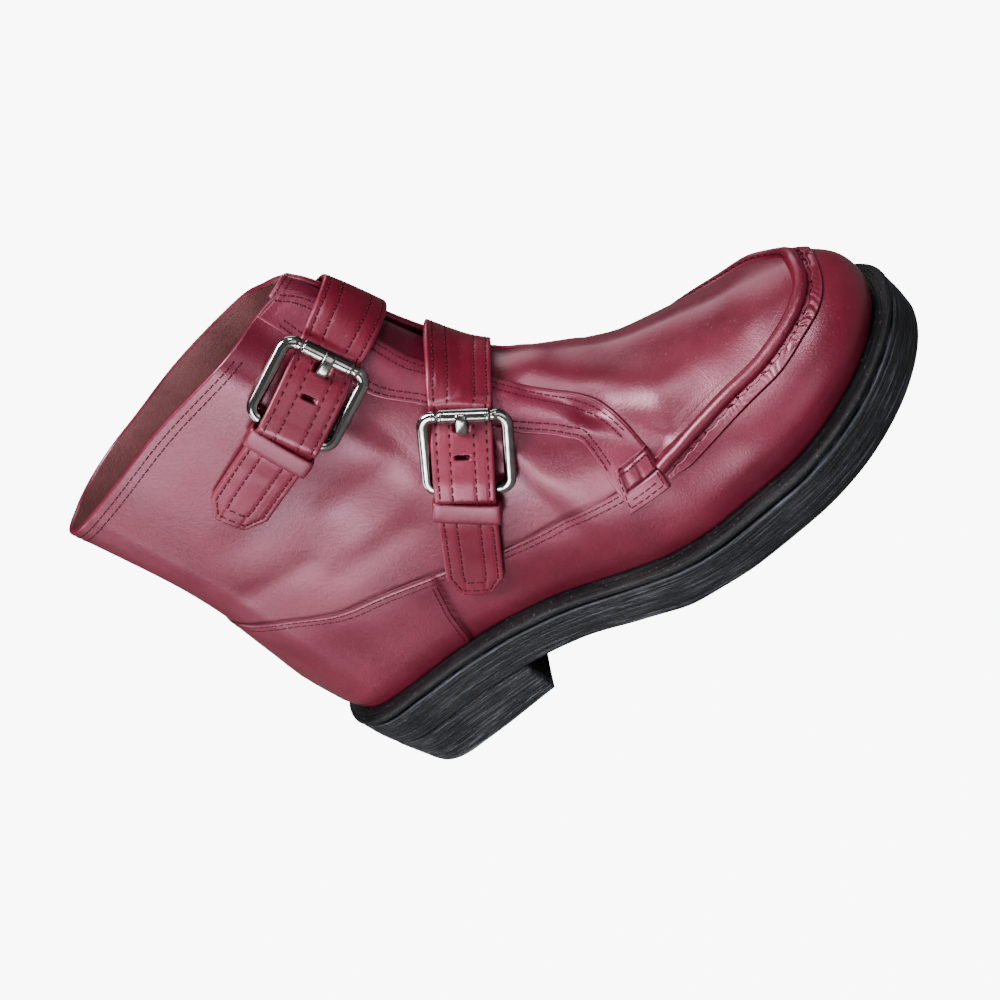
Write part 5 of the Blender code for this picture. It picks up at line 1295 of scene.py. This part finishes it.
# ---------------------------------------------------------------- buckles
# Cast and polished, plated in bright nickel: a rod frame with rounded corners, a roller
# turning on its top bar between two rings, and a prong folded round the heel bar.
nickel, tree, shader = begin("polished_nickel_plate", Metallic=1.0)
nickel_place = add(tree, "ShaderNodeTexCoord").outputs["Object"]
drawn_out = add(tree, "ShaderNodeMapping", {"Vector": nickel_place, "Scale": (300.0, 2600.0, 700.0)}).outputs[0]
scratch = noise(tree, drawn_out, 1.0, 2.0)
smear = noise(tree, nickel_place, 190.0, 3.0)
tree.links.new(band_of(tree, smear, 0.35, 0.7, 0.07, 0.20), shader.inputs["Roughness"])
nickel_tone = mixed(tree, band_of(tree, smear, 0.4, 0.7), (0.37, 0.36, 0.35), (0.20, 0.197, 0.19))
nickel_tone = mixed(tree, dust(tree, 0.1), nickel_tone, (0.5, 0.48, 0.45))
tree.links.new(nickel_tone, shader.inputs["Base Color"])
scratched = add(tree, "ShaderNodeBump", {"Height": scratch, "Strength": 0.12, "Distance": 0.00005})
tree.links.new(scratched.outputs["Normal"], shader.inputs["Normal"])


def tube(path, across, up, half_across, half_up, sides, power=2.0):
    """Rings of a rod: superellipses across the path, with a half width each way."""
    angle = np.linspace(0.0, 2.0 * np.pi, sides + 1)[:-1]
    c, s = (np.sign(v) * np.abs(v) ** (2 / power) for v in (np.cos(angle), np.sin(angle)))
    return (path[:, None, :] + across[:, None, :] * (half_across[:, None] * c)[..., None]
            + up[:, None, :] * (half_up[:, None] * s)[..., None])


FRAME_INNER = FRAME_HALF - FRAME_CORNER  # from the middle to the centre of a corner
SIDE_WIDER, BAR_THINNER, TOP_THINNER, RING_OUT = 0.45, 0.15, 0.2, 0.65


def frame_path(long, aside):
    """Round the frame in steps of about 1.2 mm: four quarter circles joined straight."""
    corners, path = [], []
    for cu, cw, start in ((long - FRAME_CORNER, FRAME_INNER, 0.0), (FRAME_CORNER, FRAME_INNER, 0.5),
                          (FRAME_CORNER, -FRAME_INNER, 1.0), (long - FRAME_CORNER, -FRAME_INNER, 1.5)):
        angle = np.pi * (start + np.linspace(0.0, 0.5, 13))
        corners.append(np.stack([cu + FRAME_CORNER * np.cos(angle), np.zeros(len(angle)),
                                 aside + cw + FRAME_CORNER * np.sin(angle)], -1))
    corners = np.concatenate(corners)
    for start, end in zip(corners, np.roll(corners, -1, axis=0)):
        steps = max(int(np.linalg.norm(end - start) / 1.2), 1)
        path.append(start + (end - start) * (np.arange(steps) / steps)[:, None])
    return np.concatenate(path)


def frame_rod(long, aside):
    """The frame: wider along its sides, thinner in the chape and in the roller, with a ring
    raised on the top bar at each end of the roller."""
    path = frame_path(long, aside)
    ahead = np.roll(path, -1, axis=0) - np.roll(path, 1, axis=0)
    ahead /= np.linalg.norm(ahead, axis=1)[:, None]
    up = np.broadcast_to((0.0, 1.0, 0.0), path.shape)
    off_middle, heel_half, top_half = np.abs(path[:, 2] - aside), path[:, 0] < long / 2, path[:, 0] > long / 2
    on_bar = ease(FRAME_HALF - 3.6, FRAME_HALF - 5.0, off_middle) * heel_half
    on_top = ease(ROLLER_HALF + 1.9, ROLLER_HALF + 1.5, off_middle) * top_half
    half_up = ROD - BAR_THINNER * on_bar - TOP_THINNER * on_top
    half_across = half_up + SIDE_WIDER * (1.0 - np.maximum(on_bar, on_top))
    ring = RING_OUT * (np.exp(-((off_middle - ROLLER_HALF - 1.1) / 0.7) ** 4) * top_half)
    return tube(path, np.cross(ahead, up), up, half_across + ring, half_up + ring, 24, 2.2)


ROLLER_END_W = np.array((0, 0, 0.25, 0.7, 1.1, 1.3, 1.6)) - ROLLER_HALF
ROLLER_END = np.array((1.75, 2.1, 2.42, 2.5, 2.5, 2.44, 2.5))


def roller_tube(long, aside):
    """The roller: a straight tube with rounded ends, and a fine groove near each."""
    w = np.concatenate((ROLLER_END_W, np.linspace(-6.8, 6.8, 12), -ROLLER_END_W[::-1]))
    radius = np.concatenate((ROLLER_END, np.full(12, ROLLER_OUT), ROLLER_END[::-1]))
    line = np.stack([np.full(len(w), long), np.zeros(len(w)), w + aside], -1)
    across, up = (np.broadcast_to(axis, line.shape) for axis in ((1.0, 0.0, 0.0), (0.0, 1.0, 0.0)))
    return tube(line, across, up, radius, radius, 28)


PRONG_EYE, PRONG_EYE_STEPS, PRONG_THICK = 2.25, 14, 0.85


def prong_bar(long, aside):
    """The prong: an eye bent round the heel bar, then a flat bar under the strap's face, up
    through the slot and over the roller. Rows of the course: u, v and half thickness."""
    angle = np.radians(np.linspace(-335.0, -90.0, PRONG_EYE_STEPS))
    over = ROLLER_OUT + 0.3 + PRONG_THICK
    course = ((3, -1.9, 0.55), (8, -1.0, 0.7), (13, -1.1, 0.8), (17, -1.6, 0.85), (19.6, -1.7, 0.85),
              (20.9, -1.3, 0.85), (21.9, 0.1, 0.85), (22.9, 2.0, 0.85), (24.0, over - 0.35, 0.9),
              (long - 0.4, over + 0.15, 0.9), (long + 1.6, over - 0.35, 0.85), (long + 1.9, over - 1.0, 0.6))
    eye = np.stack([PRONG_EYE * np.cos(angle), PRONG_EYE * np.sin(angle), np.full(PRONG_EYE_STEPS, 0.4)])
    u, v, thick = np.concatenate((eye, np.transpose(course)), axis=1)
    steps = np.concatenate(([0.0], np.cumsum(np.hypot(np.diff(u), np.diff(v)))))
    t = np.linspace(0.0, steps[-1], 90)
    line = np.stack([smooth(steps, u, t), smooth(steps, v, t), np.full(len(t), 0.4 * aside)], -1)
    ahead = np.gradient(line, axis=0)
    ahead /= np.linalg.norm(ahead, axis=1)[:, None]
    wide = np.broadcast_to((0.0, 0.0, 1.0), line.shape)
    from_end = np.clip(np.minimum(t, steps[-1] - t) / 0.5, 0, 1)
    ends = np.sqrt(np.clip(1.0 - (1.0 - from_end) ** 2, 0.0, 1.0))
    bar = tube(line, wide, np.cross(wide, ahead), PRONG_HALF * (0.75 + 0.25 * ends),
               smooth(steps, thick, t) * (0.25 + 0.75 * ends), 20, 4.5)
    caps = [np.broadcast_to(bar[k].mean(axis=0), bar[k].shape)[None] for k in (0, -1)]
    return np.concatenate((caps[0], bar, caps[1]))


for which, strap in STRAPS.items():
    axes, aside = strap_axes[which], strap["aside"]
    for part, label, shape, closed in (("frame", "rod", frame_rod, (True, True)),
                                       ("roller", "tube", roller_tube, (False, True)),
                                       ("prong", "tongue", prong_bar, (False, True))):
        node = "buckle_" + part + "_" + which
        piece(node + "_" + label, [in_axes(axes, shape(axes[4], aside))], nickel, node,
              closed, turn_out=True)

# ---------------------------------------------------------------- stitching
# Waxed burgundy thread, each stitch drawn down between two awl holes, whose shade is painted as dark beads.
thread, tree, shader = begin("waxed_thread", Roughness=0.6, Specular_IOR_Level=0.2)
thread_place = add(tree, "ShaderNodeTexCoord").outputs["Object"]
ply = add(tree, "ShaderNodeTexWave", {"Vector": thread_place, "Scale": 900.0, "Distortion": 2.0}).outputs["Fac"]
thread_tone = mixed(tree, ply, (0.040, 0.0014, 0.0058), (0.085, 0.0034, 0.0130))
tree.links.new(mixed(tree, dust(tree, 0.02), thread_tone, (0.5, 0.4, 0.38)), shader.inputs["Base Color"])
twisted = add(tree, "ShaderNodeBump", {"Height": ply, "Strength": 0.5, "Distance": 0.0001})
tree.links.new(twisted.outputs["Normal"], shader.inputs["Normal"])
# Painted shade: near-black beads at both ends of each stitch.
awl_hole_shade, tree, shader = begin("awl_hole_shade", Specular_IOR_Level=0.1)
torn = noise(tree, add(tree, "ShaderNodeTexCoord").outputs["Object"], 700.0, 2.0)
tree.links.new(mixed(tree, torn, (0.016, 0.0010, 0.0030), (0.045, 0.0022, 0.0072)), shader.inputs["Base Color"])
tree.links.new(band_of(tree, torn, 0.3, 0.7, 0.7, 0.95), shader.inputs["Roughness"])
THREAD_SINK, HOLE_SHADE_SINK, STITCH_MERGE = 0.05, 0.04, 0.0005  # mm into the leather, and mm for doubles


def paced(points, normals, pitch):
    """Places at equal steps along a line, with the direction ahead and the normal there."""
    length = length_along(points)
    count = max(int(length[-1] / pitch), 1)
    t = (np.arange(count) + 0.5) * length[-1] / count
    at, normal, ahead = (np.stack([np.interp(t, length, values[:, k]) for k in range(3)], -1)
                         for values in (points, normals, np.gradient(points, axis=0)))
    normal /= np.linalg.norm(normal, axis=1)[:, None]
    ahead -= normal * np.sum(ahead * normal, axis=1)[:, None]
    return at, ahead / np.maximum(np.linalg.norm(ahead, axis=1), 1e-9)[:, None], normal


def beads(centres, ahead, normal, size, sink, slant):
    """One squashed ball a place: 5 rings of 6 points, half sizes along, across and up."""
    across = np.cross(normal, ahead)
    ahead = ahead * np.cos(slant) + across * np.sin(slant)
    across = np.cross(normal, ahead)
    tilt, turn = np.meshgrid(np.linspace(0, np.pi, 5), np.linspace(0, 2 * np.pi, 7)[:-1], indexing="ij")
    x = np.cos(tilt) * size[0]
    y = np.sin(tilt) * np.cos(turn) * size[1]
    z = np.sin(tilt) * np.sin(turn) * size[2] - sink
    return (centres[:, None, None, :] + x[..., None] * ahead[:, None, None, :]
            + y[..., None] * across[:, None, None, :] + z[..., None] * normal[:, None, None, :])


def sewn(name, rows, pitch, size, slant=0.2, hole=(0.34, 0.34, 0.2)):
    """A thread piece, and a piece of dark beads painted as the shade in the awl holes, for
    rows of (points, normals).
    """
    threads, hole_shades = [], []
    for points, normals in rows:
        at, ahead, normal = paced(points, normals, pitch)
        threads.append(beads(at, ahead, normal, size, THREAD_SINK, slant))
        for end in (-1.0, 1.0):
            hole_shades.append(beads(at + ahead * size[0] * end, ahead, normal, hole, HOLE_SHADE_SINK, slant))
    for label, balls, finish in (("_thread", threads, thread), ("_holes", hole_shades, awl_hole_shade)):
        balls = np.concatenate(balls)
        piece(name + label, list(balls), finish, around=(False, True), merge=STITCH_MERGE)


def interior_line(grid, normals, distance, at):
    """Where each grid line along axis 1 reaches a distance from its start."""
    k = np.clip((distance < at).sum(axis=1) - 1, 0, grid.shape[1] - 2)
    i = np.arange(len(grid))
    f = ((at - distance[i, k]) / np.maximum(distance[i, k + 1] - distance[i, k], 1e-6))[:, None]
    return grid[i, k] * (1 - f) + grid[i, k + 1] * f, normals[i, k]


def nearest(values, target):
    """Index of the value nearest to a target."""
    return int(np.argmin(np.abs(values - target)))


strap_rows = []
for at, strap, axes, s_line, w_line in strap_seams:
    face = STRAP_THICKNESS + 0.1 + strap_crown(strap, s_line, w_line)
    points = strap_point(at, strap, axes, s_line, w_line, face)
    strap_rows.append((points, strap_point(at, strap, axes, s_line, w_line, face + 1.0) - points))
sewn("strap_stitching", strap_rows, 3.1, (0.8, 0.32, 0.26), 0.24, (0.36, 0.36, 0.2))

# Panel rows, by distance in mm from the edge that they follow.
FACING_FRONT_ROWS, FACING_REAR_ROWS, WALL_ROWS, TOPLINE_ROWS = (2.0, 4.5), (1.7, 4.0), (1.9, 4.3), (2.2, 4.8)
behind_tab = (FINE_RUN > -13) & (FINE_RUN < 172)
in_p, in_q = nearest(tab_p, 0.13), nearest(tab_p, 0.12)
along_p, along_q = slice(in_p, -in_p), slice(in_q, -in_q)
# Round each tab, after a short row below its bar.
TAB_ROWS = ((nearest(tab_p, 0.29), slice(in_q + 3, -in_q - 3)), (in_p, along_q), (along_p, -in_q - 1),
            (-in_p - 1, along_q), (along_p, in_q))
panel_rows = []
for side, _ in SIDES:
    raised, normal, from_front, from_rear = facings[side]
    above_tab, below_top = slice(int(len(raised) * 0.10), None), slice(int(len(raised) * 0.10), -14)
    for at_mm in FACING_FRONT_ROWS:
        panel_rows.append(interior_line(raised[above_tab], normal[above_tab], from_front[above_tab], at_mm))
    for at_mm in FACING_REAR_ROWS:
        panel_rows.append(interior_line(*(v[below_top, ::-1] for v in (raised, normal, from_rear)), at_mm))
    for at_mm in WALL_ROWS:
        panel_rows.append(interior_line(*(v[behind_tab][:, ::-1] for v in walls[side]), at_mm))
    panel_rows += [tuple(v[row] for v in tabs[side]) for row in TAB_ROWS]
quarter_edge = (quarter_points, quarter_normals, reach_from(quarter_base, 1, True))
for at_mm in TOPLINE_ROWS:
    panel_rows.append(interior_line(*(v[26:-26, ::-1] for v in quarter_edge), at_mm))
sewn("panel_stitching", panel_rows, 2.7, (0.8, 0.34, 0.27))

fine_rows = []
z = np.linspace(43.0, 78.0, 60)
for side, turn in SIDES:
    for offset in (1.1, 3.2):
        x = counter_line(z) - offset
        spots = flank(np.stack([x, x + 0.5], 0), np.stack([z, z], 0), side)
        normal = outward(spots, turn)[0]
        below_seam = smooth(*SEAM, x) - z
        lift = folds(spots[0]) + 0.66 + 0.5 * ease(28, 6, below_seam)
        sewn_here = z < smooth(*SEAM, x) - 5.5
        fine_rows.append(((spots[0] + normal * lift[:, None])[sewn_here], normal[sewn_here]))
fine_rows += [(tongue_front[row], tongue_normal[row]) for row in (6, 10)]
sewn("fine_stitching", fine_rows, 2.3, (0.68, 0.28, 0.22), hole=(0.29, 0.28, 0.18))

# The far half of the apron shows a row inside the cord. Thick slanted stitches cross the
# groove outside it, all round.
inner_row = slice(int(0.52 * len(ridge_s)), -8), nearest(ridge_a, -1.9)
sewn("apron_stitching", [(ridge_grid[inner_row], ridge_normal[inner_row])], 3.3, (1.15, 0.5, 0.42), 0.45,
     (0.6, 0.5, 0.34))
groove_row = slice(4, -4), nearest(ridge_a, 4.1)
at, ahead, normal = paced(ridge_grid[groove_row], ridge_normal[groove_row], RIDGE_STITCH)
drawn = beads(at + normal * 0.45, np.cross(normal, ahead), normal, (1.75, 0.42, 0.42), 0.0, 0.55)
piece("ridge_thread", list(drawn), thread, around=(False, True), merge=STITCH_MERGE)

# ---------------------------------------------------------------- floor, light and camera
# A plain pale floor that curves up behind, seen as white. Round soft lamps stand in a dim
# white room: one large lamp overhead, and weaker ones low, at the sides and behind.
# Metres of level floor, radius of its curve, height of its top edge, degrees to its middle.
FLOOR_REACH, FLOOR_BEND, FLOOR_TOP, FLOOR_BACK = 2.4, 1.2, 4.0, 115.0
FLOOR_GLOW = 9.0  # what the camera sees of it is white
bend = np.linspace(0.0, np.pi / 2, 17)[1:]
sweep_out = np.concatenate((np.linspace(0.0, FLOOR_REACH, 13), FLOOR_REACH + FLOOR_BEND * np.sin(bend),
                            (FLOOR_REACH + FLOOR_BEND,)))
sweep_up = np.concatenate((np.zeros(13), FLOOR_BEND - FLOOR_BEND * np.cos(bend), (FLOOR_TOP,)))
sweep_turn = np.radians(np.linspace(-180.0, 180.0, 73))[:, None]
off_back = np.abs((sweep_turn - np.radians(FLOOR_BACK) + np.pi) % (2 * np.pi) - np.pi)
sweep = np.stack([sweep_out * np.cos(sweep_turn), sweep_out * np.sin(sweep_turn),
                  sweep_up * ease(95.0, 80.0, np.degrees(off_back))], -1)
floor_mesh = bpy.data.meshes.new("floor")
floor_mesh.from_pydata(sweep.reshape(-1, 3).tolist(), [], quads(*sweep.shape[:2]).tolist())
floor_mesh.polygons.foreach_set("use_smooth", np.ones(len(floor_mesh.polygons), bool))
floor = bpy.data.objects.new("floor", floor_mesh)
bpy.context.scene.collection.objects.link(floor)
paper, tree, shader = begin("pale_floor", Roughness=0.9, Emission_Color=(1.0, 1.0, 1.0))
fibre = noise(tree, add(tree, "ShaderNodeTexCoord").outputs["Object"], 40.0, 2.0)
tree.links.new(mixed(tree, fibre, (0.075, 0.075, 0.075), (0.09, 0.09, 0.09)), shader.inputs["Base Color"])
seen = add(tree, "ShaderNodeLightPath").outputs["Is Camera Ray"]
tree.links.new(sums(tree, "MULTIPLY", seen, FLOOR_GLOW), shader.inputs["Emission Strength"])
floor_mesh.materials.append(paper)

world = bpy.data.worlds.new("studio")
bpy.context.scene.world = world
world.use_nodes = True
world.node_tree.nodes["Background"].inputs["Color"].default_value = (1.0, 1.0, 1.0, 1.0)
world.node_tree.nodes["Background"].inputs["Strength"].default_value = 0.12


def looking(direction, up_hint, location):
    """The placement that stands at a location and looks along a direction, Y near up_hint."""
    back = -np.asarray(direction, float) / np.linalg.norm(direction)
    right = np.cross(up_hint, back)
    right /= np.linalg.norm(right)
    full = np.eye(4)
    full[:3, :3], full[:3, 3] = np.stack([right, np.cross(back, right), back], 1), location
    return mathutils.Matrix(full.tolist())


# Each lamp: its place and target in metres, its diameter, and its power in watts.
LAMPS = (
    ("key", (0.03, -0.55, 1.35), (0.05, 0.0, 0.0), 0.75, 42.0),
    ("card", (-0.15, -0.44, 0.012), (-0.04, -0.20, 0.25), 0.32, 2.4),
    ("side", (-0.28, -0.92, 0.20), (0.04, 0.0, 0.11), 0.42, 5.0),
    ("fore", (0.52, -0.78, 0.18), (-0.03, 0.0, 0.15), 0.5, 1.4),
    ("front", (0.76, -0.42, 0.86), (0.1, 0.0, 0.08), 0.24, 4.0),
    ("rear", (-0.85, -0.40, 0.22), (0.0, 0.0, 0.03), 0.5, 3.0),
    ("back", (0.5, 1.1, 0.9), (0.1, 0.0, 0.08), 0.9, 6.0),
)
for label, place, target, size, power in LAMPS:
    lamp = bpy.data.lights.new(label, "AREA")
    lamp.shape, lamp.size, lamp.energy = "DISK", size, power
    shown = bpy.data.objects.new(label, lamp)
    bpy.context.scene.collection.objects.link(shown)
    shown.visible_camera = False
    shown.matrix_world = looking(np.array(target) - np.array(place), (0.0, 0.0, 1.0), place)

AIM, VIEW = np.array((0.099, 0.0, 0.030)), np.array((-0.3666, 0.7953, -0.4828))
CAMERA_UP, DISTANCE = (0.606, 0.599, 0.525), 0.4976
camera = bpy.data.objects.new("camera", bpy.data.cameras.new("camera"))
bpy.context.scene.collection.objects.link(camera)
camera.data.sensor_width, camera.data.lens, camera.data.clip_start = 36.0, 44.92, 0.01
camera.data.shift_x, camera.data.shift_y = -0.10, 0.0117
camera.matrix_world = looking(VIEW, CAMERA_UP, AIM - VIEW / np.linalg.norm(VIEW) * DISTANCE)
bpy.context.scene.camera = camera
